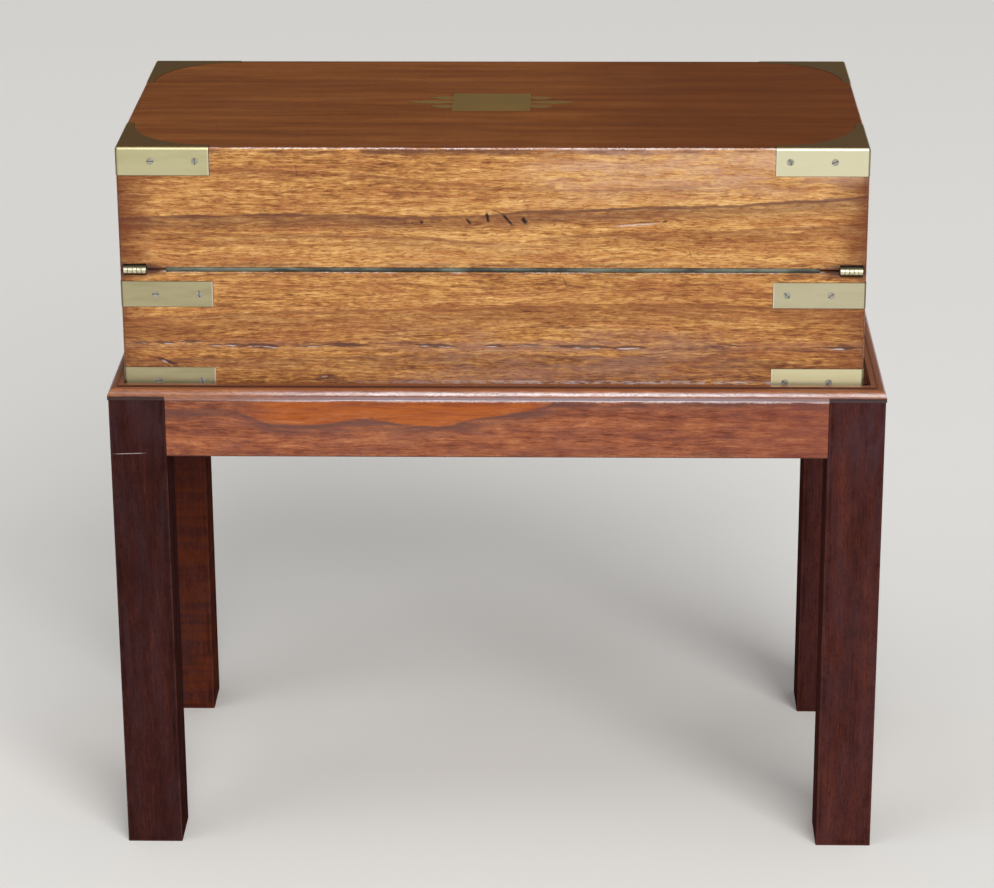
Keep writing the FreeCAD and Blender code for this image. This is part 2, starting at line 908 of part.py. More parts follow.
def flap_pieces(end, side):
    """Board, leather and tab of one flap, in the slope's frame."""
    board = flap_board(end, side)
    tab_bed = flap_tab(end, side, tab_fit)
    leather = flap_leather(end, side, 0).common(board).cut(tab_bed)
    board = board.cut([flap_leather(end, side, leather_side_fit), tab_bed])
    return board, leather, flap_tab(end, side, 0)


def base_ledges():
    """Strips under the base flap, along the two ends and the hinge-side wall."""
    top = -flap_set - flap_thickness - flap_rest_fit
    n_span = (top - ledge_height, top)
    start = flap_start() - flap_edge_fit - through
    end = base_flap_end() - divider_seat
    x = inner_half_width
    end_ledge = laid_on_base_slope(block((-x, -x + ledge_width), (start, end), n_span))
    room = block((-x, x), (-inner_half_depth, divider_y), (box_floor, box_top))
    hinge_ledge_x = x - ledge_width
    hinge_end = wall + ledge_width + flap_thickness
    hinge_ledge = laid_on_base_slope(block((-hinge_ledge_x, hinge_ledge_x), (start, hinge_end), n_span))
    left = end_ledge.common(room)
    return [left, mirrored_x(left), hinge_ledge.common(room)]


def lid_ledges():
    """Strips behind the lid flap, along the two ends and the hinge-side wall."""
    bottom = flap_set + flap_thickness + flap_rest_fit
    n_span = (bottom, bottom + ledge_height)
    start = flap_start() - flap_edge_fit - through
    end = lid_flap_end() + catch_gap
    x = inner_half_width
    room = interior()
    left = laid_on_lid_slope(block((-x, -x + ledge_width), (start, end), n_span)).common(room)
    hinge_ledge_x = x - ledge_width
    hinge_end = wall + ledge_width + flap_thickness
    hinge_ledge = laid_on_lid_slope(block((-hinge_ledge_x, hinge_ledge_x), (start, hinge_end), n_span))
    return [left, mirrored_x(left), hinge_ledge.common(room)]


def catch_rail():
    """The strip along the lid's lock side that the flap closes against."""
    start = lid_flap_end() + catch_gap
    x = inner_half_width
    bar = block((-x, x), span(start, catch_rail_width + wall), span(flap_set, catch_rail_height))
    bar = bar.cut(flap_tab(lid_flap_end(), 1, tab_fit))
    return laid_on_lid_slope(bar).common(interior())


def catch_spring():
    """A thin brass spring on the rail, beside the tab, that grips the flap's edge."""
    start = lid_flap_end() + catch_gap - catch_thickness
    spring = block(span(tab_width, catch_width), span(start, catch_thickness), span(flap_set, catch_height))
    return laid_on_lid_slope(spring)


# Fittings inside the base


def divider():
    """The board between the flap's space and the compartments, with a seat for the flap."""
    x = inner_half_width
    y = divider_y
    floor = box_floor + bottom_thickness
    set_down = flap_set / math.cos(base_slope)
    outline = [(y, floor), (bay_y, floor), (bay_y, base_rim_at(bay_y) - set_down)]
    outline += [(y, base_rim_at(y) - set_down)]
    board = side_prism(outline, (-x, x))
    seat_top = -flap_set - flap_thickness - flap_rest_fit
    seat = laid_on_base_slope(block((-x, x), (0, base_flap_end() + flap_edge_fit), (seat_top, through)))
    tab_bed = laid_on_base_slope(flap_tab(base_flap_end(), -1, tab_fit))
    return board.cut([seat, tab_bed])


def partition():
    """The left partition between an inkwell's place and the pen tray."""
    floor = box_floor + bottom_thickness
    far_y = inner_half_depth
    outline = [(bay_y, floor), (far_y, floor), (far_y, base_rim_at(far_y) - partition_set)]
    outline += [(bay_y, base_rim_at(bay_y) - partition_set)]
    return side_prism(outline, centred(-partition_place, partition_thickness))


def well_bay_x():
    """The X span of the left inkwell's place."""
    return (-inner_half_width, -partition_place - partition_thickness / 2)


def inkwell_shelf():
    return block(well_bay_x(), (bay_y, inner_half_depth), (shelf_top - shelf_thickness, shelf_top))


def tray_bay():
    """The space that the pen tray drops into, less its clearance."""
    x = partition_place - partition_thickness / 2 - fitting_gap
    y_span = (bay_y + fitting_gap, inner_half_depth - fitting_gap)
    return block((-x, x), y_span, (box_floor, box_top))


def scoop(x_span, middle):
    """A long round-ended hollow that pens lie in, in the slope's frame."""
    radius = tray_scoop_radius
    z = -tray_set - tray_scoop_depth + radius
    start = x_span[0] + radius
    end = x_span[1] - radius
    pieces = [Part.makeCylinder(radius, end - start, V(start, middle, z), ALONG)]
    pieces.append(Part.makeSphere(radius, V(start, middle, z)))
    pieces.append(Part.makeSphere(radius, V(end, middle, z)))
    return fused(pieces)


def pen_tray():
    """A lift-out tray with two scoops and a small box for nibs and stamps."""
    start = (bay_y + half_depth) / math.cos(base_slope)
    x = partition_place
    bottom = -tray_set - tray_height
    slab = block((-x, x), (start - through, start + tray_width + through), span(bottom, tray_height))
    inner_x = partition_place - partition_thickness / 2 - fitting_gap - tray_rim
    first = start + fitting_gap + tray_rim + tray_scoop_radius
    second = first + tray_rim + 2 * tray_scoop_radius
    box_start = inner_x - tray_box_length
    box_bottom = -tray_set - tray_box_depth
    nib_box = block((box_start, inner_x), centred(second, 2 * tray_scoop_radius), (box_bottom, through))
    long_scoop = scoop((-inner_x, inner_x), first)
    short_scoop = scoop((-inner_x, box_start - tray_rim), second)
    return laid_on_base_slope(slab.cut([long_scoop, short_scoop, nib_box])).common(tray_bay())


def tray_bearer():
    """A strip on the left partition that carries the end of the pen tray."""
    x = -partition_place + partition_thickness / 2
    start = (bay_y + half_depth) / math.cos(base_slope) - through
    length = tray_width + 2 * through
    top = -tray_set - tray_height
    bar = block(span(x, bearer_width), span(start, length), (top - bearer_height, top))
    room = block((x, 0), (bay_y, inner_half_depth), (box_floor, box_top))
    return laid_on_base_slope(bar).common(room)


def well_centre():
    near_x, far_x = well_bay_x()
    return (near_x + far_x) / 2, bay_y + compartment_depth / 2


def inkwell():
    """A square glass well with rounded corners, a round neck and a hollow for the ink."""
    x, y = well_centre()
    body = block(centred(x, well_side), centred(y, well_side), span(shelf_top, well_height))
    body = body.makeFillet(well_corner, edges_along(body, UP))
    full_height = well_height + well_neck_height
    neck = Part.makeCylinder(well_neck_radius, full_height, V(x, y, shelf_top))
    hollow = Part.makeCylinder(well_hollow_radius, full_height, V(x, y, shelf_top + well_wall))
    return fused([body, neck]).cut(hollow)


def inkwell_cap():
    """A turned brass cap that sits over the neck."""
    x, y = well_centre()
    seat = shelf_top + well_height
    cap = Part.makeCylinder(cap_radius, cap_height, V(x, y, seat))
    middle = seat + cap_height / 2
    rounded = [edge for edge in cap.Edges if edge.Closed and edge.CenterOfMass.z > middle]
    cap = cap.makeFillet(cap_edge, rounded)
    bore_height = well_neck_height + cap_fit
    return cap.cut(Part.makeCylinder(well_neck_radius + cap_fit, bore_height, V(x, y, seat)))


# Lock


def lock_plate_y():
    """Where the lock's plates are centred: over the case, with the staples leaning as the rim does."""
    return inner_half_depth + lock_thickness / 2 - staple_length / 2 * math.sin(base_slope)


def lock_plate_middle(slope):
    """Distance up a slope to the middle of the lock's plates."""
    return (lock_plate_y() + half_depth) / math.cos(slope)


def lock_y_span():
    return (inner_half_depth, inner_half_depth + lock_thickness)


def under_lock_plate(drop):
    """Everything below the lock's top plate, by an amount."""
    x = half_width
    return laid_on_base_slope(block((-x, x), (0, box_depth + through), (-box_height, -drop)))


def lock_case():
    """The lock's case, let into the inside of the wall, open at the top under its plate."""
    top = base_rim_at(half_depth)
    bottom = base_rim_at(inner_half_depth) - lock_depth
    y_near, y_far = lock_y_span()
    outer = block(centred(0, lock_width), (y_near, y_far), (bottom, top))
    outer = outer.common(under_lock_plate(lock_plate_thickness))
    inner_y = (y_near + lock_skin, y_far - lock_skin)
    cavity = block(centred(0, lock_width - 2 * lock_skin), inner_y, (bottom + lock_skin, top))
    return outer.cut([cavity, key_hole()])


def lock_plate(fit):
    """The plate on the rim; fit grows it into its recess and leaves the slots out."""
    top = 0 if fit == 0 else through
    y_span = centred(lock_plate_middle(base_slope), lock_plate_width + 2 * fit)
    plate = block(centred(0, lock_width + 2 * fit), y_span, (-lock_plate_thickness, top))
    if fit == 0:
        plate = plate.cut([staple_slot(side) for side in (-1, 1)])
    return laid_on_base_slope(plate)


def staple_slot(side):
    x_span = centred(side * staple_spacing / 2, staple_thickness + 2 * staple_slot_fit)
    y_span = centred(lock_plate_middle(base_slope), staple_width + 2 * staple_slot_fit)
    return block(x_span, y_span, (-staple_length, through))


def link_plate(fit):
    """The plate on the lid's rim, with the two staples that enter the lock."""
    middle = lock_plate_middle(lid_slope)
    bottom = 0 if fit == 0 else -through
    y_span = centred(middle, lock_plate_width + 2 * fit)
    plate = block(centred(0, lock_width + 2 * fit), y_span, (bottom, lock_plate_thickness))
    if fit == 0:
        plate = fused([plate] + [staple(side, middle) for side in (-1, 1)])
    return laid_on_lid_slope(plate)


def staple(side, middle):
    """A flat loop on edge, with an eye that the bolt's finger enters along X."""
    x = side * staple_spacing / 2
    y_span = centred(middle, staple_width)
    bar = block(centred(x, staple_thickness), y_span, (-staple_length, lock_plate_thickness))
    eye_bottom = -staple_length + staple_eye_width / 2
    eye_y = centred(middle, staple_eye_width)
    eye = block(centred(x, staple_thickness + through), eye_y, span(eye_bottom, staple_eye_height))
    return bar.cut(eye)


def eye_centre():
    """Height and depth of the middle of the staples' eyes when the lid is shut."""
    middle = lock_plate_middle(lid_slope)
    height = -staple_length + staple_eye_width / 2 + staple_eye_height / 2
    return laid_on_lid_slope(Part.Vertex(V(0, middle, height))).Point


def lock_bolt():
    """The sliding bolt, drawn back: a bar with two hooks that enter the staples when it is thrown."""
    eye = eye_centre()
    y_span = centred(eye.y, bolt_thickness)
    finger_top = eye.z + bolt_rise / 2
    finger_bottom = eye.z - bolt_rise / 2
    bar_top = eye.z - staple_eye_height - bolt_rise
    bar_bottom = bar_top - bolt_height
    tips = [side * staple_spacing / 2 - staple_thickness / 2 - bolt_tip_gap for side in (-1, 1)]
    bar_start = -bolt_reach
    bar_end = lock_width / 2 - lock_skin - bolt_travel - bolt_end_gap
    pieces = [block((bar_start, bar_end), y_span, (bar_bottom, bar_top))]
    for tip in tips:
        post = tip - bolt_finger
        pieces.append(block((post - bolt_post, post), y_span, (bar_bottom, finger_top)))
        pieces.append(block((post - bolt_post, tip), y_span, (finger_bottom, finger_top)))
    return fused(pieces)


def key_place_z():
    return base_rim_at(half_depth) - key_drop


def key_hole():
    """The keyhole through the wall and into the lock: a round hole with a slot below it."""
    z = key_place_z()
    start = half_depth - wall + lock_skin * 2
    length = wall + through
    hole = Part.makeCylinder(key_hole_radius, length, V(0, start, z), ACROSS)
    slot = block(centred(0, key_slot_width), span(start, length), (z - key_slot_length, z))
    return hole.fuse(slot)


def escutcheon(fit):
    """An oval keyhole plate let into the lock-side face."""
    z = key_place_z() - key_slot_length / 2
    start = half_depth + brass_proud - escutcheon_thickness
    oval = Part.Ellipse(ORIGIN, escutcheon_height / 2 + fit, escutcheon_width / 2 + fit)
    face = Part.Face(Part.Wire([oval.toShape()]))
    plate = face.extrude(V(0, 0, escutcheon_thickness))
    plate.rotate(ORIGIN, UP, QUARTER_TURN_DEG)
    plate.rotate(ORIGIN, ALONG, -QUARTER_TURN_DEG)
    plate.translate(V(0, start, z))
    return plate.cut(key_hole()) if fit == 0 else plate


# Flush handles


def handle_place_z():
    return box_floor + handle_height


def rounded_plate(length, height, corner, x_span):
    """A plate on the right-hand end with rounded corners, centred on the handle."""
    plate = block(x_span, centred(0, length), centred(handle_place_z(), height))
    return plate.makeFillet(corner, edges_along(plate, ALONG))


def handle_pan(fit):
    """The right-hand sunk plate: a flange with a pan behind it and two ears for the bail."""
    face = half_width + brass_proud
    corner = handle_plate_corner
    growth = 2 * fit
    flange_x = (face - brass_thickness - fit, face)
    flange = rounded_plate(handle_plate_length + growth, handle_plate_height + growth, corner, flange_x)
    pan_x = (face - handle_pan_depth - fit, face)
    pan = rounded_plate(handle_pan_length + growth, handle_pan_height + growth, corner, pan_x)
    whole = flange.fuse(pan)
    if fit > 0:
        return whole
    inner_corner = corner - handle_pan_skin
    hollow_x = (face - handle_pan_depth + handle_pan_skin, face + through)
    whole = whole.cut(rounded_plate(pan_inner_length, pan_inner_height, inner_corner, hollow_x))
    return fused([whole, bail_ear(1), bail_ear(-1)]).cut(bail_bore())


def bail_axis_x():
    """The bail's pivot lies midway between the pan's floor and the face."""
    return half_width + brass_proud - (handle_pan_depth - handle_pan_skin) / 2


def bail_axis_z():
    return handle_place_z() + bail_pivot_rise


def bail_ear(side):
    far = side * (pan_inner_length + handle_pan_skin) / 2
    near = side * (pan_inner_length / 2 - bail_ear_length)
    back = half_width + brass_proud - handle_pan_depth + handle_pan_skin / 2
    return block((back, half_width), ordered(near, far), centred(bail_axis_z(), bail_ear_height))


def bail_bore():
    start = V(bail_axis_x(), -pan_inner_length / 2, bail_axis_z())
    return Part.makeCylinder(bail_pin_radius + bail_pin_fit, pan_inner_length, start, ACROSS)


def handle_bail():
    """The right-hand bail, hanging in its pan: a bent bar with a pin at each end."""
    x = bail_axis_x()
    top = bail_axis_z()
    low = top - bail_drop
    half = bail_span / 2
    corner = bail_corner
    reach = pan_inner_length / 2 - bail_pin_fit
    inset = corner * (1 - EIGHTH_TURN_SHARE)
    path = []
    for side in (-1, 1):
        arm_end = V(x, side * half, low + corner)
        bend = V(x, side * (half - inset), low + inset)
        grip_end = V(x, side * (half - corner), low)
        upright = Part.makeLine(V(x, side * half, top), arm_end)
        turn = Part.Arc(arm_end, bend, grip_end).toShape()
        path += [upright, turn] if side < 0 else [turn, upright]
    grip = Part.makeLine(V(x, corner - half, low), V(x, half - corner, low))
    path.insert(len(path) // 2, grip)
    ring = Part.Wire([Part.makeCircle(bail_bar_radius, V(x, -half, top), UP)])
    bar = Part.Wire(path).makePipeShell([ring], True, False)
    pieces = [bar]
    for side in (-1, 1):
        start = V(x, side * half, top)
        outward = V(0, side, 0)
        pieces.append(Part.makeSphere(bail_bar_radius, start))
        pieces.append(Part.makeCylinder(bail_bar_radius, bail_shoulder, start, outward))
        pieces.append(Part.makeCylinder(bail_pin_radius, reach - half, start, outward))
    return fused(pieces)


# Assembly


def at_four_corners(shape):
    return both_ends(shape) + both_ends(mirrored_y(shape))


def hinge_beds():
    """Recesses of the leaves and the notches round the barrels, at both ends."""
    return both_ends(leaf_bed(True)) + both_ends(leaf_bed(False)) + both_ends(hinge_notch())


def base_nodes():
    """The base's boards with everything let into them."""
    middle_straps = both_ends(middle_strap(-half_depth)) + both_ends(middle_strap(half_depth))
    bottom_straps = at_four_corners(bottom_strap())
    strap_screws, strap_holes = base_strap_screws()
    leaf_screws, leaf_holes = hinge_screws(True)
    cutters = middle_straps + bottom_straps + strap_holes + leaf_holes + hinge_beds()
    cutters += both_ends(handle_pan(handle_pan_fit))
    cutters += [leather_bed(True), lock_pocket(), lock_plate(lock_plate_fit)]
    cutters += [escutcheon(escutcheon_fit), key_hole()]
    nodes = {name: cut_by(board, cutters) for name, board in base_boards().items()}
    nodes["middle_straps"] = [cut_by(piece, strap_holes) for piece in middle_straps]
    nodes["bottom_straps"] = [cut_by(piece, strap_holes) for piece in bottom_straps]
    nodes["base_strap_screws"] = strap_screws
    nodes["hinge_leaves_base"] = [cut_by(piece, leaf_holes) for piece in both_ends(hinge_leaf(True))]
    nodes["hinge_screws_base"] = leaf_screws
    nodes["hinge_pins"] = both_ends(hinge_pin())
    nodes["leather_hinge"] = leather_fold()
    return nodes


def lid_nodes():
    """The lid's boards with everything let into them."""
    corner_mounts = at_four_corners(top_corner_mount())
    plate = name_plate()
    strap_screws, strap_holes = lid_strap_screws()
    leaf_screws, leaf_holes = hinge_screws(False)
    cutters = corner_mounts + [plate] + strap_holes + leaf_holes + hinge_beds()
    cutters += [leather_bed(False), link_plate(lock_plate_fit)]
    nodes = {name: cut_by(board, cutters) for name, board in lid_boards().items()}
    nodes["lid_corner_mounts"] = [cut_by(piece, strap_holes) for piece in corner_mounts]
    nodes["name_plate"] = plate
    nodes["lid_strap_screws"] = strap_screws
    nodes["hinge_leaves_lid"] = [cut_by(piece, leaf_holes) for piece in both_ends(hinge_leaf(False))]
    nodes["hinge_screws_lid"] = leaf_screws
    return nodes


def flap_nodes():
    base_board, base_leather, base_tab = flap_pieces(base_flap_end(), -1)
    lid_board, lid_leather, lid_tab = flap_pieces(lid_flap_end(), 1)
    return {
        "base_flap": laid_on_base_slope(base_board),
        "base_flap_leather": laid_on_base_slope(base_leather),
        "base_flap_tab": laid_on_base_slope(base_tab),
        "lid_flap": laid_on_lid_slope(lid_board),
        "lid_flap_leather": laid_on_lid_slope(lid_leather),
        "lid_flap_tab": laid_on_lid_slope(lid_tab),
        "base_flap_ledges": base_ledges(),
        "lid_flap_ledges": lid_ledges(),
        "lid_catch_rail": catch_rail(),
        "lid_catch_spring": catch_spring(),
    }


def fitting_nodes():
    return {
        "base_divider": divider(),
        "base_partitions": both_ends(partition()),
        "inkwell_shelves": both_ends(inkwell_shelf()),
        "pen_tray": pen_tray(),
        "tray_bearers": both_ends(tray_bearer()),
        "inkwells": both_ends(inkwell()),
        "inkwell_caps": both_ends(inkwell_cap()),
    }


def lock_pocket():
    """The pocket for the lock case, cut from the inside of the wall."""
    x = lock_width / 2 + lock_plate_fit
    y_near, y_far = lock_y_span()
    bottom = base_rim_at(inner_half_depth) - lock_depth - lock_plate_fit
    return block((-x, x), (y_near - through, y_far + lock_plate_fit), (bottom, box_top))


def lock_nodes():
    return {
        "lock_case": lock_case(),
        "lock_plate": lock_plate(0),
        "lock_bolt": lock_bolt(),
        "lock_link_plate": link_plate(0),
        "escutcheon": escutcheon(0),
    }


def handle_nodes():
    pan = handle_pan(0)
    bail = handle_bail()
    return {
        "handle_pans": both_ends(pan),
        "handle_bail_right": bail,
        "handle_bail_left": mirrored_x(bail),
    }


def solids_of(shape):
    """The solids of one shape or of a list of shapes."""
    pieces = shape if isinstance(shape, list) else [shape]
    return [solid for piece in pieces for solid in piece.Solids]


def box_family():
    """Every node of the box, moved to where the box lies in its lip."""
    nodes = {}
    for family in (base_nodes, lid_nodes, flap_nodes, fitting_nodes, lock_nodes, handle_nodes):
        for name, shape in family().items():
            nodes[name] = [solid.translated(V(-box_off_centre, 0, 0)) for solid in solids_of(shape)]
    return nodes


def write_node(name, shape):
    """Writes one sub-part; several solids become a group."""
    solids = solids_of(shape)
    body = solids[0] if len(solids) == 1 else Part.makeCompound(solids)
    body.exportStep(os.path.join("parts", name + ".step"))
    return solids


def main():
    os.makedirs("parts", exist_ok=True)
    nodes = stand_nodes()
    nodes.update(box_family())
    for name, shape in nodes.items():
        solids = write_node(name, shape)
        volume = sum(solid.Volume for solid in solids)
        valid = all(solid.isValid() for solid in solids)
        print(f"{name}: {len(solids)} solid(s), {volume:.0f} mm3, valid {valid}")


main()
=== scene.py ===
import math

import bmesh
import bpy
from mathutils import Matrix, Vector, noise


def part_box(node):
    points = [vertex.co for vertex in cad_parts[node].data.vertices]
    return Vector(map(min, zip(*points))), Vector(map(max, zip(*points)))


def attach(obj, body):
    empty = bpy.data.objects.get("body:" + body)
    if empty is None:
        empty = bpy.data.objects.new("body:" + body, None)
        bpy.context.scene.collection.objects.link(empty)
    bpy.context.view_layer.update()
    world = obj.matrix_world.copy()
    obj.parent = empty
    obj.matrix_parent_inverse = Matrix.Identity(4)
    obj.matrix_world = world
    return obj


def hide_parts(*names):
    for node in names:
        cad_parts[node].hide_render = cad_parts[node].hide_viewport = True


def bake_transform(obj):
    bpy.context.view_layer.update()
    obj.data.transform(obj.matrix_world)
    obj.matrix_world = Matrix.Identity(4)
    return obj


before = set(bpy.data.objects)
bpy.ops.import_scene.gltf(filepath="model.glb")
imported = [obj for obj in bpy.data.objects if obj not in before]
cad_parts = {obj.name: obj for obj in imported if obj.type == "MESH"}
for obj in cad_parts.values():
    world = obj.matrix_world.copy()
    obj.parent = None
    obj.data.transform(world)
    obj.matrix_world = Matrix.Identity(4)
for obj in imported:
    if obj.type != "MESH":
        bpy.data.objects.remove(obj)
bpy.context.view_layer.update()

# Patterns and places are in millimetres, as on the object, and go to Blender's metres through METRE.
METRE = 1000.0

# The box, the joint between its halves and the stand, as the solids have them
box_middle = -2.4
half_width = 254.0
half_depth = 120.5
box_floor = 338.0
box_top = 514.0
outer_arris = 2.0
base_rim = 427.0
lid_rim = 428.8
base_slope = math.tan(math.radians(8.26))
lid_slope = math.tan(math.radians(7.95))
strap_length = 63.0
stand_half_width = 267.0
stand_half_depth = 133.5
leg_side = 39.0
rail_bottom = 296.7
rail_top = 338.0
hinge_inset = 2.5
knuckle_pitch = 3.1
hinge_height = 427.9

# Where arrises are painted pale, as wear and painted highlight, in millimetres: away from the upright
# arrises, above the lid's rim, beside the hinges, and on the rail right of its left third and above its
# lower edge. The other arrises get painted shade
off_upright = (3.0, 7.0)
above_lid_rim = (8.0, 12.0)
beside_hinge = (25.5, 39.5)
lit_rail_along = (-210.0, -120.0)
lit_rail_height = (302.7, 308.7)


def shade(red, green, blue):
    """A linear colour from one written in the usual steps up to 255."""
    def linear(step):
        share = step / 255
        if share <= 0.04045:
            return share / 12.92
        return ((share + 0.055) / 1.055) ** 2.4
    return (linear(red), linear(green), linear(blue), 1.0)


class Graph:
    """The nodes of one material, added a step at a time."""

    def __init__(self, name):
        self.material = bpy.data.materials.new(name)
        self.material.use_nodes = True
        self.nodes = self.material.node_tree.nodes
        self.links = self.material.node_tree.links
        self.nodes.clear()

    def feed(self, socket, value):
        if isinstance(value, bpy.types.NodeSocket):
            self.links.new(value, socket)
        else:
            socket.default_value = value

    def step(self, operation, *values):
        """One sum on numbers."""
        node = self.nodes.new("ShaderNodeMath")
        node.operation = operation
        for socket, value in zip(node.inputs, values):
            self.feed(socket, value)
        return node.outputs[0]

    def add(self, *values):
        total = values[0]
        for value in values[1:]:
            total = self.step("ADD", total, value)
        return total

    def less(self, first, second):
        return self.step("SUBTRACT", first, second)

    def times(self, *values):
        total = values[0]
        for value in values[1:]:
            total = self.step("MULTIPLY", total, value)
        return total

    def either(self, *values):
        """The largest of several masks."""
        total = values[0]
        for value in values[1:]:
            total = self.step("MAXIMUM", total, value)
        return total

    def lower(self, first, second):
        return self.step("MINIMUM", first, second)

    def size(self, value):
        return self.step("ABSOLUTE", value)

    def place(self):
        """Where a point is on the object, in millimetres."""
        coordinates = self.nodes.new("ShaderNodeTexCoord")
        scaled = self.nodes.new("ShaderNodeVectorMath")
        scaled.operation = "SCALE"
        self.links.new(coordinates.outputs["Object"], scaled.inputs[0])
        scaled.inputs["Scale"].default_value = METRE
        return scaled.outputs[0]

    def split(self, vector):
        node = self.nodes.new("ShaderNodeSeparateXYZ")
        self.links.new(vector, node.inputs[0])
        return node.outputs[0], node.outputs[1], node.outputs[2]

    def join(self, *values):
        node = self.nodes.new("ShaderNodeCombineXYZ")
        for socket, value in zip(node.inputs, values):
            self.feed(socket, value)
        return node.outputs[0]

    def noise(self, vector, grain, detail=2.0, roughness=0.5):
        """Soft noise whose grains have the given size along each axis, from 0 to 1 about one half."""
        scaled = self.nodes.new("ShaderNodeVectorMath")
        scaled.operation = "DIVIDE"
        self.links.new(vector, scaled.inputs[0])
        scaled.inputs[1].default_value = grain
        node = self.nodes.new("ShaderNodeTexNoise")
        self.links.new(scaled.outputs[0], node.inputs["Vector"])
        node.inputs["Scale"].default_value = 1.0
        node.inputs["Detail"].default_value = detail
        node.inputs["Roughness"].default_value = roughness
        return node.outputs[0]

    def swing(self, vector, grain, reach, detail=2.0, roughness=0.5):
        """The same noise about zero, times its reach."""
        return self.times(self.less(self.noise(vector, grain, detail, roughness), 0.5), reach)

    def partly(self, mask, share):
        """The mask, held up so that it only takes away the given share."""
        return self.add(self.times(mask, share), 1.0 - share)

    def rise(self, value, start, end):
        """0 before start and 1 after end, smoothly in between. End may lie below start."""
        node = self.nodes.new("ShaderNodeMapRange")
        node.interpolation_type = "SMOOTHSTEP"
        low, high = min(start, end), max(start, end)
        self.feed(node.inputs["Value"], value)
        node.inputs["From Min"].default_value = low
        node.inputs["From Max"].default_value = high
        node.inputs["To Min"].default_value = 0.0 if start < end else 1.0
        node.inputs["To Max"].default_value = 1.0 if start < end else 0.0
        return node.outputs[0]

    def strip(self, value, enter, leave):
        """1 between two soft edges."""
        return self.times(self.rise(value, *enter), self.rise(value, *leave))

    def patches(self, vector, grain, start, end, detail=3.0, roughness=0.6):
        """1 in the patches where noise comes over start to end, and 0 between them."""
        return self.rise(self.noise(vector, grain, detail, roughness), start, end)

    def curve(self, value, points):
        """A smooth curve through points of shares."""
        node = self.nodes.new("ShaderNodeFloatCurve")
        line = node.mapping.curves[0]
        line.points[0].location = points[0]
        line.points[1].location = points[-1]
        for point in points[1:-1]:
            line.points.new(*point)
        node.mapping.update()
        self.feed(node.inputs["Value"], value)
        return node.outputs[0]

    def ramp(self, share, stops):
        node = self.nodes.new("ShaderNodeValToRGB")
        line = node.color_ramp
        line.elements[0].position, line.elements[0].color = stops[0]
        line.elements[1].position, line.elements[1].color = stops[-1]
        for place, colour in stops[1:-1]:
            line.elements.new(place).color = colour
        self.feed(node.inputs[0], share)
        return node.outputs[0]

    def mix(self, share, first, second):
        """Goes from the first colour to the second as share goes from 0 to 1."""
        node = self.nodes.new("ShaderNodeMix")
        node.data_type = "RGBA"
        self.feed(node.inputs[0], share)
        self.feed(node.inputs[6], first)
        self.feed(node.inputs[7], second)
        return node.outputs[2]

    def bump(self, height, depth):
        """Relief whose full height is depth, in millimetres."""
        node = self.nodes.new("ShaderNodeBump")
        node.inputs["Strength"].default_value = 1.0
        node.inputs["Distance"].default_value = depth / METRE
        self.links.new(height, node.inputs["Height"])
        return node.outputs[0]

    def surface(self, **values):
        """The finished surface. Each value is a socket or a constant for the input of that name."""
        shader = self.nodes.new("ShaderNodeBsdfPrincipled")
        for name, value in values.items():
            self.feed(shader.inputs[name.replace("_", " ")], value)
        output = self.nodes.new("ShaderNodeOutputMaterial")
        self.links.new(shader.outputs[0], output.inputs["Surface"])
        return self.material


def second_smallest(graph, distances):
    """How far a point of a surface is from the nearest arris, from its depths under the sides."""
    if len(distances) == 2:
        return graph.either(*distances)
    first, second, third = distances
    return graph.either(graph.lower(first, second), graph.lower(graph.either(first, second), third))


def box_depths(graph):
    """How deep a point lies under the ends, the long sides and the top of the box."""
    along, across, up = graph.split(graph.place())
    under_end = graph.less(half_width, graph.size(graph.less(along, box_middle)))
    under_side = graph.less(half_depth, graph.size(across))
    under_top = graph.less(box_top, up)
    return under_end, under_side, under_top


def rim_depths(graph):
    """How deep a point lies under the base's rim, and how high above the lid's."""
    along, across, up = graph.split(graph.place())
    from_hinges = graph.add(across, half_depth)
    base = graph.less(graph.add(graph.times(from_hinges, base_slope), base_rim), up)
    lid = graph.less(up, graph.add(graph.times(from_hinges, lid_slope), lid_rim))
    return base, lid


def off_corners(graph, under_end, under_side):
    """0 on the upright arrises of the box, which get painted shade, and 1 away from them."""
    return graph.rise(graph.either(under_end, under_side), *off_upright)


def lid_arris(graph):
    """How far a point of the lid is from its nearest arris, and where the arrises are painted pale as wear
    and highlight.
    """
    under_end, under_side, under_top = box_depths(graph)
    rim = rim_depths(graph)[1]
    edge = second_smallest(graph, (under_end, under_side, graph.lower(under_top, rim)))
    return edge, graph.times(off_corners(graph, under_end, under_side), graph.rise(rim, *above_lid_rim))


def base_arris(graph):
    under_end, under_side, under_top = box_depths(graph)
    rim = rim_depths(graph)[0]
    edge = second_smallest(graph, (under_end, under_side, rim))
    off_hinges = graph.rise(under_end, *beside_hinge)
    return edge, graph.times(off_corners(graph, under_end, under_side), off_hinges)


def leg_arris(graph):
    along, across, up = graph.split(graph.place())
    middle_x = stand_half_width - leg_side / 2
    middle_y = stand_half_depth - leg_side / 2
    in_x = graph.less(leg_side / 2, graph.size(graph.less(graph.size(along), middle_x)))
    in_y = graph.less(leg_side / 2, graph.size(graph.less(graph.size(across), middle_y)))
    return second_smallest(graph, (in_x, in_y, up)), 1.0


def rail_arris(graph):
    along, across, up = graph.split(graph.place())
    under_end = graph.less(stand_half_width, graph.size(along))
    under_side = graph.less(stand_half_depth, graph.size(across))
    in_height = graph.lower(graph.less(up, rail_bottom), graph.less(rail_top, up))
    edge = second_smallest(graph, (under_end, under_side, in_height))
    return edge, graph.times(graph.rise(up, *lit_rail_height), graph.rise(along, *lit_rail_along))


def tones(*stops):
    """The colours of a wood from dark to light, each written as its place and its shade."""
    return tuple((place, shade(*colour)) for place, *colour in stops)


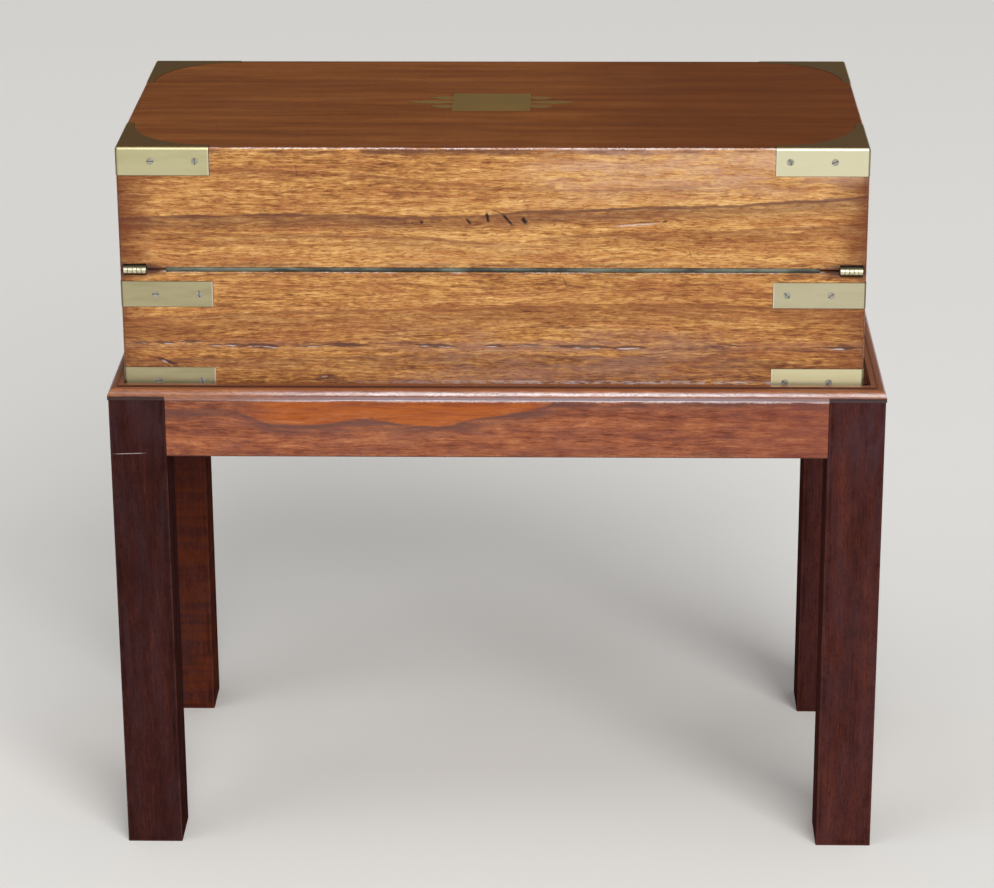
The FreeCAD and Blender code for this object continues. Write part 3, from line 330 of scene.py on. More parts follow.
# Each wood: its tones, the size of its waves, bands, streaks, flecks and mottle along, up and through the
# board, how strongly each tells, and the patterns of its pores and its blush.
box_wood = {
    "tones": tones(
        (0.00, 78, 38, 24), (0.22, 126, 76, 40), (0.46, 180, 123, 66), (0.68, 212, 160, 96),
        (1.00, 238, 196, 132),
    ),
    "wave": ((150.0, 40.0, 40.0), 12.0),
    "ripple": ((26.0, 8.0, 8.0), 3.5),
    "band_grain": (190.0, 13.0, 13.0), "band_share": 0.62,
    "streak_grain": (28.0, 1.5, 1.5), "streak_share": 1.05,
    "fibre_grain": (8.0, 0.7, 0.7), "fibre_share": 0.85,
    "mottle_grain": (7.0, 3.2, 3.2), "mottle_share": 0.6,
    "pores": ((3.4, 0.75, 0.75), 0.55, 0.7, 1.0, 0.5), "pore_share": 0.45, "pore_colour": shade(84, 42, 24),
    "blush": ((60.0, 9.0, 9.0), 0.42, 0.68), "blush_share": 0.4, "blush_colour": shade(160, 94, 58),
    "worn_highlight_colour": shade(246, 238, 242), "worn_highlight_share": 1.0,
    "dirt_and_shade_colour": shade(84, 52, 48), "dirt_share": 0.45,
    "roughness": 0.36, "specular": 0.2, "relief": 0.1,
}
# The top's darker, browner tones are partly its own wood, partly painted shade and a painted reflection of
# brown surroundings
shaded_top_wood = dict(
    box_wood,
    tones=tones(
        (0.00, 72, 36, 12), (0.30, 98, 52, 20), (0.50, 120, 68, 28), (0.72, 138, 82, 38),
        (1.00, 160, 100, 52),
    ),
    band_share=0.7, streak_share=0.2, streak_grain=(120.0, 4.0, 4.0), fibre_share=0.12, mottle_share=0.1,
    mottle_grain=(8.0, 14.0, 14.0), pore_share=0.2, blush_colour=shade(96, 48, 22), specular=0.06,
    roughness=0.42, worn_highlight_share=0.5,
)
leg_wood = dict(
    box_wood,
    tones=tones((0.00, 34, 16, 15), (0.35, 56, 28, 24), (0.55, 76, 38, 32), (1.00, 112, 60, 46)),
    band_share=0.5, streak_share=0.5, fibre_share=0.35, mottle_share=0.4, mottle_grain=(14.0, 6.0, 6.0),
    pore_share=0.3, pore_colour=shade(22, 10, 10), blush_colour=shade(60, 42, 46), worn_highlight_share=0.3,
    worn_highlight_colour=shade(104, 70, 60), dirt_and_shade_colour=shade(24, 12, 10), roughness=0.4, specular=0.0,
)
rail_wood = dict(
    box_wood,
    tones=tones(
        (0.00, 76, 38, 28), (0.28, 112, 58, 40), (0.50, 144, 82, 54), (0.74, 170, 104, 68),
        (1.00, 198, 136, 92),
    ),
    wave=((80.0, 26.0, 26.0), 12.0), band_share=0.9, streak_share=0.95, fibre_share=0.6, mottle_share=0.9,
    mottle_grain=(14.0, 5.0, 5.0), pore_share=0.3, blush_colour=shade(122, 74, 66),
    blush=((30.0, 8.0, 8.0), 0.42, 0.68), worn_highlight_colour=shade(220, 200, 200), worn_highlight_share=0.75,
    roughness=0.36, specular=0.16,
)
lip_wood = dict(
    rail_wood,
    tones=tones((0.00, 84, 44, 30), (0.35, 122, 70, 42), (0.60, 150, 92, 56), (1.00, 184, 128, 88)),
    mottle_share=0.3, roughness=0.3, specular=0.3,
)
inner_wood = dict(
    box_wood,
    tones=tones((0.00, 92, 50, 32), (0.35, 134, 80, 50), (0.60, 164, 104, 66), (1.00, 192, 134, 90)),
    band_share=0.4, streak_share=0.4, worn_highlight_share=0.2, blush_colour=shade(150, 92, 62), roughness=0.5,
)

# The detail and roughness of the noise in each part of the figure
band_noise = (3.0, 0.5)
streak_noise = (4.0, 0.62)
fibre_noise = (2.0, 0.6)
mottle_noise = (3.0, 0.6)
gloss_swing = ((60.0, 60.0, 60.0), 0.16, 3.0)
middle_tone = 0.5
fibre_relief_share = 0.5

# Arrises worn and painted with highlight: how ragged they are, then in millimetres from the arris where the
# pale spots end, where the dirt starts and ends, and where painted shade covers an arris that isn't painted
# pale
arris_raggedness = ((1.8, 0.8, 0.8), 2.6, 3.0, 0.7)
worn_highlight_patches = ((30.0, 30.0, 30.0), 0.38, 0.56)
worn_highlight_edge = (1.2, 0.5)
dirt_start = (1.4, 2.2)
dirt_end = (5.0, 2.4)
arris_shade_edge = (1.4, 0.5)
patchy_share = 0.9
even_share = 0.06
arris_shade_share = 0.8
worn_relief_share = -0.8


class Board:
    """What the figure of one board can change before its material is finished."""

    def __init__(self, graph, order, shift):
        parts = dict(zip("xyz", graph.split(graph.place())))
        self.along, self.up, self.through = (parts[axis] for axis in order)
        self.graph = graph
        self.shift = shift
        self.moved = self.shifted()
        self.tone = None
        self.bent = None
        self.tints = []
        self.reliefs = []

    def shifted(self, *rises):
        """The place in the wood's pattern, which is another one on each board."""
        along, up, through = self.shift
        add = self.graph.add
        return self.graph.join(add(self.along, along), add(self.up, up, *rises), add(self.through, through))

    def tint(self, colour, *masks):
        """Lays a colour over the wood, as strongly as all the masks and shares together let it."""
        self.tints.append((self.graph.times(*masks), colour))


def arris_wear_and_light(graph, board, look, edge, rubbed_and_lit):
    """Pale spots where an arris is worn and painted with highlight, old dirt just inside it, and painted
    shade elsewhere.
    """
    patches = graph.patches(board.moved, *worn_highlight_patches)
    ragged = graph.add(edge, graph.swing(board.moved, *arris_raggedness))
    spots = graph.add(graph.times(patches, patchy_share), even_share)
    worn_highlight = graph.times(graph.rise(ragged, *worn_highlight_edge), spots, rubbed_and_lit)
    beside = graph.times(graph.strip(ragged, dirt_start, dirt_end), graph.less(1.0, patches))
    shaded_arris = graph.times(graph.rise(ragged, *arris_shade_edge), graph.less(1.0, rubbed_and_lit))
    board.tint(look["dirt_and_shade_colour"], beside, look["dirt_share"])
    # Painted shade on the arrises that aren't painted pale
    board.tint(look["dirt_and_shade_colour"], shaded_arris, arris_shade_share)
    # Pale wear with a painted highlight on the arrises that catch the light
    board.tint(look["worn_highlight_colour"], worn_highlight, look["worn_highlight_share"])
    board.reliefs.append(graph.times(worn_highlight, worn_relief_share))


def wood(name, look, order, shift, arris=None, dressing=None):
    """Solid wood. Order gives the axis along the grain, the one up the board and the one through it."""
    graph = Graph(name)
    board = Board(graph, order, shift)
    wave = graph.swing(board.moved, *look["wave"])
    ripple = graph.swing(board.moved, *look["ripple"])
    board.bent = board.shifted(wave, ripple)
    band = graph.swing(board.bent, look["band_grain"], look["band_share"], *band_noise)
    streak = graph.swing(board.bent, look["streak_grain"], look["streak_share"], *streak_noise)
    fibre = graph.swing(board.bent, look["fibre_grain"], look["fibre_share"], *fibre_noise)
    mottle = graph.swing(board.moved, look["mottle_grain"], look["mottle_share"], *mottle_noise)
    board.tone = graph.add(band, streak, fibre, mottle, middle_tone)
    pores = graph.patches(board.bent, *look["pores"])
    if dressing:
        dressing(graph, board)
    if arris:
        arris_wear_and_light(graph, board, look, *arris(graph))
    blush = graph.patches(board.bent, *look["blush"])
    colour = graph.ramp(board.tone, look["tones"])
    colour = graph.mix(graph.times(blush, look["blush_share"]), colour, look["blush_colour"])
    colour = graph.mix(graph.times(pores, look["pore_share"]), colour, look["pore_colour"])
    for mask, tint in board.tints:
        colour = graph.mix(mask, colour, tint)
    relief = graph.add(graph.times(fibre, fibre_relief_share), graph.times(pores, -1.0), *board.reliefs)
    return graph.surface(
        Base_Color=colour,
        Roughness=graph.add(look["roughness"], graph.swing(board.moved, *gloss_swing)),
        Specular_IOR_Level=look["specular"],
        Normal=graph.bump(relief, look["relief"]),
    )


# The figure of the boards that the photograph shows: lines of dark growth, as shares of the width and of
# the height above the board's lower edge.
upper_line_shares = (
    (0.0, 0.42), (0.10, 0.437), (0.22, 0.447), (0.33, 0.442), (0.38, 0.43), (0.45, 0.437), (0.51, 0.455),
    (0.565, 0.478), (0.65, 0.499), (0.715, 0.52), (0.81, 0.532), (0.885, 0.554), (0.94, 0.576), (1.0, 0.608),
)
upper_first_shares = (
    (0.0, 0.74), (0.08, 0.80), (0.15, 0.83), (0.24, 0.80), (0.34, 0.77), (0.45, 0.70), (0.60, 0.66),
    (0.75, 0.68), (0.87, 0.72), (1.0, 0.74),
)
upper_second_shares = (
    (0.0, 0.30), (0.20, 0.28), (0.40, 0.26), (0.52, 0.22), (0.59, 0.27), (0.70, 0.30), (0.85, 0.33),
    (1.0, 0.38),
)
lower_line_shares = ((0.0, 0.60), (0.20, 0.66), (0.45, 0.70), (0.70, 0.74), (1.0, 0.70))
lower_second_shares = ((0.0, 0.28), (0.25, 0.30), (0.50, 0.33), (0.75, 0.30), (1.0, 0.26))
rail_line_shares = (
    (0.0, 0.82), (0.09, 0.835), (0.118, 0.76), (0.138, 0.655), (0.165, 0.575), (0.212, 0.56),
    (0.263, 0.60), (0.297, 0.645), (0.33, 0.63), (0.364, 0.56), (0.414, 0.545), (0.448, 0.615),
    (0.482, 0.70), (0.538, 0.78), (0.572, 0.88), (0.61, 1.0), (1.0, 1.0),
)
lid_face_height = 85.2
base_face_height = 89.0
rail_height = 41.3
rail_half_width = 228.0
purple_brown = shade(100, 60, 46)
russet = shade(118, 66, 40)
lilac_bloom_and_sheen = shade(196, 158, 140)
dim_bloom_and_sheen = shade(138, 104, 96)
rail_purple = shade(98, 64, 58)
rail_red = shade(120, 58, 50)
rail_orange = shade(172, 88, 28)
rail_flame = shade(132, 62, 30)
end_stain = shade(98, 42, 22)
dark_stain_and_shade = shade(52, 28, 28)
top_orange = shade(98, 48, 14)
ink = shade(34, 16, 18)
pale_scratch = shade(214, 196, 196)

# Scratches and ink marks of the lid's front: their two ends along and up, their width and their depth share
upper_marks = (
    ((-6.4, 469.6), (-4.6, 460.9), 1.4, 0.95),
    ((-20.3, 464.8), (-16.4, 459.9), 1.2, 0.85),
    ((3.8, 468.5), (12.4, 458.8), 1.3, 0.95),
    ((17.6, 466.0), (20.9, 460.1), 2.0, 0.95),
    ((-3.1, 471.3), (5.0, 467.5), 0.9, 0.5),
    ((-51.0, 463.0), (-49.4, 460.6), 1.6, 0.85),
    ((-57.0, 461.4), (-56.0, 461.0), 0.9, 0.6),
    ((-134.6, 502.9), (-134.0, 492.5), 0.6, 0.4),
    ((88.0, 461.2), (116.0, 463.0), 0.55, 0.7),
    ((112.5, 462.4), (116.5, 463.2), 1.0, 0.8),
    ((130.5, 443.8), (133.4, 436.0), 0.7, 0.35),
)
upper_pale_marks = (((78.0, 459.2), (112.0, 461.4), 0.8, 0.55),)
lower_marks = (
    ((45.2, 424.1), (48.8, 415.4), 0.6, 0.55),
    ((-236.0, 365.6), (-218.0, 358.4), 1.5, 0.9),
    ((-126.0, 349.4), (-108.0, 351.2), 2.6, 0.65),
)
lower_pale_marks = (
    ((-230.6, 362.8), (-226.0, 360.8), 0.8, 0.4),
    ((-121.0, 350.8), (-116.0, 351.2), 0.7, 0.35),
)

# The cracked line of the base's front: where each opening starts and ends, as shares of the width, then in
# millimetres how far it lies above the line, how far it drops along its length, and how thick it is
cracks = (
    (0.008, 0.039, 1.8, 0.3, 0.9), (0.040, 0.073, 1.8, 1.2, 1.2), (0.076, 0.108, 2.4, -1.0, 1.2),
    (0.111, 0.139, 0.0, 0.3, 0.8), (0.134, 0.172, 0.0, 1.6, 1.5), (0.164, 0.213, -0.5, 0.8, 2.0),
    (0.232, 0.276, -0.3, -0.4, 0.9), (0.264, 0.335, 0.5, 0.4, 1.5), (0.392, 0.452, 0.0, 1.4, 1.4),
    (0.487, 0.519, 0.0, 0.3, 1.2), (0.510, 0.575, 0.2, 0.1, 0.7), (0.570, 0.672, -0.5, 0.9, 1.4),
    (0.655, 0.712, -1.0, -0.5, 1.5), (0.790, 0.815, -0.6, 0.2, 0.9), (0.818, 0.830, 0.4, 0.3, 0.7),
    (0.948, 0.991, -0.9, 0.4, 1.5),
)
crack_height = 373.7
crack_wobble = ((9.0, 9.0, 9.0), 1.8, 3.0)
crack_crumbs = ((24.0, 2.0, 2.0), 4.0, 0.7)
haze_edge = (5.0, 1.0)
haze_share = 0.35
opening_share = 1.05
opening_edge = (-0.2, 0.4)
chip_share = 0.42
chip_drop_share = 0.45
chip_edge = (0.0, 0.3)
chip_patches = ((12.0, 3.0, 3.0), 0.44, 0.58, 3.0, 0.5)
crack_share = 0.7
crack_relief_share = -0.8
cracked = shade(66, 40, 38)

# Lines of growth on the fronts: their shares, how deep in millimetres their shadow goes, how strongly the
# line and the shadow tell, their colour, and how much of them is broken off
upper_growths = (
    (upper_first_shares, 7.0, 0.4, 0.3, russet, 1.0),
    (upper_line_shares, 13.0, 0.8, 0.6, purple_brown, 0.45),
    (upper_second_shares, 12.0, 0.5, 0.4, russet, 1.0),
)
lower_growths = (
    (lower_line_shares, 18.0, 0.4, 0.45, russet, 1.0),
    (lower_second_shares, 14.0, 0.35, 0.35, purple_brown, 1.0),
)
rail_growth = (10.0, 0.7, 0.7, rail_purple, 1.0)
line_wobble = ((40.0, 10.0, 10.0), 4.0, 3.0)
shadow_wobble = ((30.0, 2.5, 2.5), 5.0, 3.0)
shadow_start = (-0.6, 0.6)
frayed_wobble = ((9.0, 1.6, 1.6), 3.0, 3.0)
thin_start = (-1.2, -0.1)
thin_end = (2.4, 0.6)
growth_breaks = ((50.0, 3.0, 3.0), 0.34, 0.56, 3.0, 0.5)
broken_line_share = 0.6

# Scratches fade out towards their ends and their sides
mark_raggedness = (1.6, 1.6, 1.6)
mark_ends = (0.55, 0.2)


def share_along(graph, board, middle=box_middle, half=half_width):
    """0 at the left end of a board and 1 at its right end."""
    return graph.add(graph.times(graph.less(board.along, middle), 0.5 / half), 0.5)


def under_line(graph, board, share, points, foot, height):
    """How far a point lies below a line of growth, in millimetres."""
    line = graph.add(graph.times(graph.curve(share, points), height), foot)
    return graph.less(graph.add(line, graph.swing(board.moved, *line_wobble)), board.up)


def growth(graph, board, below, depth, line_share, shadow_share, tint, broken_share):
    """A dark line whose shadow dies away down the board and is broken off here and there."""
    ragged = graph.add(below, graph.swing(board.bent, *shadow_wobble))
    shadow = graph.strip(ragged, shadow_start, (depth, depth / 3))
    frayed = graph.add(below, graph.swing(board.bent, *frayed_wobble))
    thin = graph.strip(frayed, thin_start, thin_end)
    breaks = graph.partly(graph.patches(board.bent, *growth_breaks), broken_share)
    board.tint(tint, shadow, breaks, shadow_share)
    board.tint(tint, thin, graph.partly(breaks, broken_line_share), line_share)


def front_growths(graph, board, share, lines, foot, height):
    """The lines of growth of a front, and how far a point lies below each."""
    belows = []
    for points, *look in lines:
        below = under_line(graph, board, share, points, foot, height)
        growth(graph, board, below, *look)
        belows.append(below)
    return belows


def marks(graph, board, strokes, tint):
    """Short straight scratches, each with its own width and strength."""
    for (start_along, start_up), (end_along, end_up), width, strength in strokes:
        reach_along = end_along - start_along
        reach_up = end_up - start_up
        length = math.hypot(reach_along, reach_up)
        from_start = graph.less(board.along, start_along)
        above_start = graph.less(board.up, start_up)
        travelled = graph.add(graph.times(from_start, reach_along), graph.times(above_start, reach_up))
        travelled = graph.times(travelled, length ** -2)
        travelled = graph.lower(graph.either(travelled, 0.0), 1.0)
        off_along = graph.less(from_start, graph.times(travelled, reach_along))
        off_up = graph.less(above_start, graph.times(travelled, reach_up))
        squares = graph.add(graph.times(off_along, off_along), graph.times(off_up, off_up))
        away = graph.step("SQRT", squares)
        fullness = graph.rise(graph.size(graph.less(travelled, 0.5)), *mark_ends)
        ragged = graph.add(away, graph.swing(board.moved, mark_raggedness, width))
        mask = graph.times(graph.rise(ragged, width, width / 3), fullness)
        board.tint(tint, mask, strength)
        board.reliefs.append(graph.times(mask, -strength))


def crack(graph, board, share):
    """Short openings of the polish along the grain, dark with a pale chip here and there."""
    height = graph.add(graph.less(board.up, crack_height), graph.swing(board.moved, *crack_wobble))
    crumbs = graph.noise(board.moved, *crack_crumbs)
    haze = graph.times(graph.rise(graph.size(height), *haze_edge), crumbs)
    board.tint(dim_bloom_and_sheen, haze, haze_share)
    dark = 0.0
    pale = 0.0
    for start, end, lift, drop, thickness in cracks:
        off_middle = graph.less(share, (start + end) / 2)
        from_middle = graph.times(off_middle, 2 / (end - start))
        leaf = graph.less(1.0, graph.times(from_middle, from_middle))
        over = graph.add(height, graph.times(off_middle, drop / (end - start)), -lift)
        within = graph.less(graph.times(leaf, opening_share * thickness), graph.size(over))
        chip_over = graph.add(over, chip_drop_share * thickness)
        chip = graph.less(graph.times(leaf, chip_share * thickness), graph.size(chip_over))
        dark = graph.either(dark, graph.rise(within, *opening_edge))
        pale = graph.either(pale, graph.rise(chip, *chip_edge))
    chips = graph.patches(board.moved, *chip_patches)
    board.tint(cracked, dark, crack_share)
    board.tint(pale_scratch, pale, chips, crack_share)
    board.reliefs.append(graph.times(dark, crack_relief_share))


end_wobble = ((24.0, 7.0, 7.0), 30.0, 3.0)
end_edge = (30.0, -4.0)


def darker_ends(graph, board, share):
    ragged = graph.add(box_depths(graph)[0], graph.swing(board.moved, *end_wobble))
    board.tint(end_stain, graph.rise(ragged, *end_edge), share)


beyond_leather = (35.5, 19.5)
rim_wobble = ((12.0, 4.0, 4.0), 6.0, 3.0)
rim_edge = (5.5, 0.5)
rim_share = 0.8


def hinge_stains_and_shade(graph, board, rim):
    """Dark wood round the hinges, where the joint stays open: stain, and painted shade in the open joint."""
    near_hinge = graph.rise(box_depths(graph)[0], *beyond_leather)
    ragged = graph.add(rim, graph.swing(board.moved, *rim_wobble))
    # Stain and painted shade along the joint by the hinges
    board.tint(dark_stain_and_shade, near_hinge, graph.rise(ragged, *rim_edge), rim_share)


soil_wobble = ((9.0, 2.0, 2.0), 4.0, 3.0)
soil_start = (0.7, 1.6)
soil_end = (6.5, 3.0)
soil_stretches = ((52.0, 60.0, 60.0), 0.42, 0.56, 2.0, 0.5)
soil_share = 0.75


def soiled_arris(graph, board):
    """A purplish strip of old polish just under the top arris, in stretches."""
    ragged = graph.add(box_depths(graph)[2], graph.swing(board.moved, *soil_wobble))
    strip = graph.strip(ragged, soil_start, soil_end)
    board.tint(purple_brown, strip, graph.patches(board.moved, *soil_stretches), soil_share)


bloom_and_sheen_patches = ((44.0, 12.0, 12.0), 0.34, 0.62, 4.0)
bloom_and_sheen_along = (0.5, 0.62)
bloom_and_sheen_height = (470.0, 500.0)
bloom_and_sheen_share = 0.5


def upper_bloom_and_sheen(graph, board, share):
    """A lilac bloom on the polish with a painted sheen, high on the right."""
    clouds = graph.patches(board.moved, *bloom_and_sheen_patches)
    right = graph.rise(share, *bloom_and_sheen_along)
    high = graph.rise(board.up, *bloom_and_sheen_height)
    board.tint(lilac_bloom_and_sheen, clouds, right, high, bloom_and_sheen_share)


inner_skin = (5.0, 3.0)


def kept_outside(graph, board):
    """The figure and the marks stay off the inner face of a wall."""
    outside = graph.rise(box_depths(graph)[1], *inner_skin)
    board.tints = [(graph.times(mask, outside), tint) for mask, tint in board.tints]
    board.reliefs = [graph.times(relief, outside) for relief in board.reliefs]


# How the tone of the lid's front goes: brighter low on the left, duller low on the right, and lighter
# towards the right overall, which is painted light falling from the right
under_first = (10.0, 18.0)
golden_along = (0.75, 0.3)
golden_share = 0.08
dimmer_along = (0.45, 0.8)
dimmer_share = -0.07
right_light_slope_share = 0.16
lift_share = 0.03
upper_end_share = 0.8


def upper_front(graph, board):
    share = share_along(graph, board)
    belows = front_growths(graph, board, share, upper_growths, lid_rim, lid_face_height)
    low = graph.rise(belows[1], *under_first)
    golden = graph.times(low, graph.rise(share, *golden_along))
    dimmer = graph.times(low, graph.rise(share, *dimmer_along))
    # The slope across the board is painted light from the right
    board.tone = graph.add(
        board.tone, graph.times(golden, golden_share), graph.times(dimmer, dimmer_share),
        graph.times(graph.less(share, 0.5), right_light_slope_share), lift_share
    )
    soiled_arris(graph, board)
    upper_bloom_and_sheen(graph, board, share)
    darker_ends(graph, board, upper_end_share)
    hinge_stains_and_shade(graph, board, rim_depths(graph)[1])
    marks(graph, board, upper_pale_marks, pale_scratch)
    marks(graph, board, upper_marks, ink)
    kept_outside(graph, board)


top_wobble = ((40.0, 60.0, 60.0), 0.12, 3.0)
top_right = (0.55, 0.8)
top_lift_share = 0.04
top_fall_share = 0.12
top_orange_share = 0.5


def top_figure(graph, board):
    """The top, darker and more orange towards its right end."""
    share = share_along(graph, board)
    right = graph.rise(graph.add(share, graph.swing(board.moved, *top_wobble)), *top_right)
    board.tone = graph.add(board.tone, graph.less(top_lift_share, graph.times(right, top_fall_share)))
    board.tint(top_orange, right, top_orange_share)


wax_crumbs = ((5.0, 1.2, 1.2), 0.42, 0.58, 4.0, 0.7)
wax_wobble = ((5.0, 1.2, 1.2), 2.0, 4.0, 0.7)
wax_start = (346.0, 346.9)
wax_end = (349.4, 347.9)
wax_left = (0.2, 0.6)
wax_right = (0.99, 0.9)
wax_share = 0.52


def old_wax(graph, board, share):
    """Pale wax on the front where the stand's lip shuts off the cloth."""
    height = graph.add(board.up, graph.swing(board.moved, *wax_wobble))
    strip = graph.strip(height, wax_start, wax_end)
    stretches = graph.strip(share, wax_left, wax_right)
    crumbs = graph.patches(board.moved, *wax_crumbs)
    board.tint(pale_scratch, strip, stretches, crumbs, wax_share)


# The base's front is painted darker towards its foot, as shade
lower_shade_height = (421.0, box_floor)
lower_shade_share = 0.1
lower_dim_share = 0.02
low_haze_and_sheen_patches = ((40.0, 9.0, 9.0), 0.36, 0.62, 4.0)
low_haze_and_sheen_left = (0.3, 0.45)
low_haze_and_sheen_right = (0.9, 0.7)
low_haze_and_sheen_height = (392.0, 378.0)
low_haze_and_sheen_share = 0.42
lower_end_share = 0.5


def lower_haze_and_sheen(graph, board, share):
    """A dim bloom with a painted sheen low on the front, between its ends."""
    clouds = graph.patches(board.moved, *low_haze_and_sheen_patches)
    left = graph.rise(share, *low_haze_and_sheen_left)
    right = graph.rise(share, *low_haze_and_sheen_right)
    low = graph.rise(board.up, *low_haze_and_sheen_height)
    board.tint(dim_bloom_and_sheen, clouds, left, right, low, low_haze_and_sheen_share)


def lower_front(graph, board):
    share = share_along(graph, board)
    front_growths(graph, board, share, lower_growths, box_floor, base_face_height)
    # Painted shade, growing towards the foot
    shaded_lowness = graph.rise(board.up, *lower_shade_height)
    board.tone = graph.less(board.tone, graph.add(graph.times(shaded_lowness, lower_shade_share), lower_dim_share))
    lower_haze_and_sheen(graph, board, share)
    darker_ends(graph, board, lower_end_share)
    crack(graph, board, share)
    old_wax(graph, board, share)
    hinge_stains_and_shade(graph, board, rim_depths(graph)[0])
    marks(graph, board, lower_marks, cracked)
    marks(graph, board, lower_pale_marks, pale_scratch)
    kept_outside(graph, board)


leg_scratch = (((-266.0, 298.3), (-242.0, 299.0), 0.4, 0.5),)
# Painted sheen on the upper parts of the legs
leg_sheen = shade(76, 54, 60)
leg_sheen_patches = ((50.0, 16.0, 16.0), 0.36, 0.66, 4.0)
leg_sheen_height = (270.0, 325.0)
leg_sheen_share = 0.5
low_leg_sheen_share = 0.12
shaded_leg_sheen_share = 0.35
# Painted shade on the left front leg
leg_shade_dimness = 0.19
leg_ripple = shade(104, 48, 20)
ripple_patches = ((7.0, 90.0, 90.0), 0.36, 0.64)
ripple_share = 0.45


def leg_top(graph, board, share=1.0):
    """A purplish painted sheen on the upper part of a leg."""
    clouds = graph.patches(board.moved, *leg_sheen_patches)
    height = graph.rise(board.along, *leg_sheen_height)
    strength = graph.add(graph.times(height, leg_sheen_share), low_leg_sheen_share)
    board.tint(leg_sheen, clouds, strength, share)


def shaded_leg(graph, board):
    """The darkest leg, darkened as painted shade, with a pale scratch across it under the rail's height."""
    board.tone = graph.less(board.tone, leg_shade_dimness)
    leg_top(graph, board, shaded_leg_sheen_share)
    upright = Board(graph, "xzy", board.shift)
    marks(graph, upright, leg_scratch, pale_scratch)
    board.tints.extend(upright.tints)


def rippled_leg(graph, board):
    """Redder wood with ripples across its grain."""
    board.tint(leg_ripple, graph.patches(board.moved, *ripple_patches), ripple_share)


orange_edge = (0.5, -1.0)
orange_left = (0.08, 0.2)
orange_right = (0.60, 0.54)
orange_wisps = ((60.0, 1.7, 1.7), 0.36, 0.6, 4.0, 0.7)
wisp_share = 0.5
orange_share = 0.3
flame_patches = ((46.0, 2.2, 2.2), 0.5, 0.64, 4.0)
flame_share = 0.6
redder_end = (0.8, 0.97)
redder_share = 0.4


def front_rail(graph, board):
    """A wavy dark line with bright orange wood above its middle."""
    share = share_along(graph, board, 0.0, rail_half_width)
    below = under_line(graph, board, share, rail_line_shares, rail_bottom, rail_height)
    above = graph.times(
        graph.rise(below, *orange_edge), graph.rise(share, *orange_left), graph.rise(share, *orange_right)
    )
    wisps = graph.add(graph.times(graph.patches(board.bent, *orange_wisps), wisp_share), orange_share)
    board.tint(rail_orange, above, wisps)
    board.tint(rail_flame, above, graph.patches(board.bent, *flame_patches), flame_share)
    growth(graph, board, below, *rail_growth)
    board.tint(rail_red, graph.rise(share, *redder_end), redder_share)


# The lip: how far in from its outer edge the brown top and the quirk start, then the heights of the quirk,
# the nose with its painted sheen, and the shoulder and the foot with their painted highlight
lip_overhang = 0.5
lip_wobble = ((12.0, 3.0, 3.0), 0.8, 2.0)
brown_start = (2.4, 3.6)
brown_share = 0.75
quirk_start = (5.0, 6.4)
quirk_height = (346.9, 346.4)
quirk_share = 0.8
nose_height = (341.1, 340.5)
nose_share = 0.14
nose_sheen_share = 0.9
shoulder_foot = (341.3, 342.5)
shoulder_head = (344.6, 342.9)
foot_height = (338.9, 338.3)
over_leg = (0.5, -0.5)
leg_stain_share = 0.9
sheen_clouds = ((22.0, 3.0, 3.0), 0.34, 0.6, 4.0, 0.7)
cloud_share = 0.4
sheen_crumbs = ((3.0, 1.2, 1.2), 0.36, 0.56, 3.0, 0.7)
crumb_share = 0.45
leg_stain = shade(36, 21, 24)
lip_brown = shade(130, 74, 40)
lip_grey_sheen = shade(142, 124, 130)
lip_sheen = shade(238, 226, 228)


def lip_polish(graph, board, sheen):
    """Old polish in the quirk, a brown top, a painted highlight on the shoulder and foot, a greyish nose
    with painted sheen, and the legs' stain.
    """
    along, across, up = graph.split(graph.place())
    in_from_end = graph.less(stand_half_width + lip_overhang, graph.size(along))
    in_from_side = graph.less(stand_half_depth + lip_overhang, graph.size(across))
    inset = graph.lower(in_from_end, in_from_side)
    wobble = graph.swing(board.moved, *lip_wobble)
    height = graph.add(up, wobble)
    board.tint(lip_brown, graph.rise(graph.add(inset, wobble), *brown_start), brown_share)
    in_quirk = graph.times(graph.rise(inset, *quirk_start), graph.rise(up, *quirk_height))
    board.tint(dark_stain_and_shade, in_quirk, quirk_share)
    clouds = graph.partly(graph.patches(board.moved, *sheen_clouds), cloud_share)
    crumbs = graph.partly(graph.patches(board.moved, *sheen_crumbs), crumb_share)
    spots = graph.times(clouds, crumbs)
    on_nose = graph.rise(height, *nose_height)
    # Painted sheen on the nose
    board.tint(lip_grey_sheen, on_nose, graph.add(graph.times(sheen, nose_sheen_share), nose_share))
    # Painted highlight on the shoulder and along the foot
    board.tint(lip_sheen, graph.strip(height, shoulder_foot, shoulder_head), spots, sheen)
    board.tint(lip_sheen, graph.rise(height, *foot_height), spots, sheen)
    off_leg = graph.either(
        graph.less(stand_half_width - leg_side, graph.size(along)),
        graph.less(stand_half_depth - leg_side, graph.size(across)),
    )
    board.tint(leg_stain, on_nose, graph.rise(off_leg, *over_leg), leg_stain_share)


sheen_left = (-220.0, -60.0)
sheen_right = (250.0, 110.0)
sheen_fall_share = 0.45
sheen_share = 0.8
least_sheen_share = 0.08
other_sheen_share = 0.4


def front_lip(graph, board):
    """The lip that faces the hinge side has its painted highlight strongest a little right of its middle."""
    left = graph.rise(board.along, *sheen_left)
    right = graph.partly(graph.rise(board.along, *sheen_right), sheen_fall_share)
    lip_polish(graph, board, graph.add(graph.times(left, right, sheen_share), least_sheen_share))


def other_lip(graph, board):
    lip_polish(graph, board, other_sheen_share)


def paint(node, *materials):
    """Gives a solid of the frame its material."""
    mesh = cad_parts[node].data
    mesh.materials.clear()
    for material in materials:
        mesh.materials.append(material)


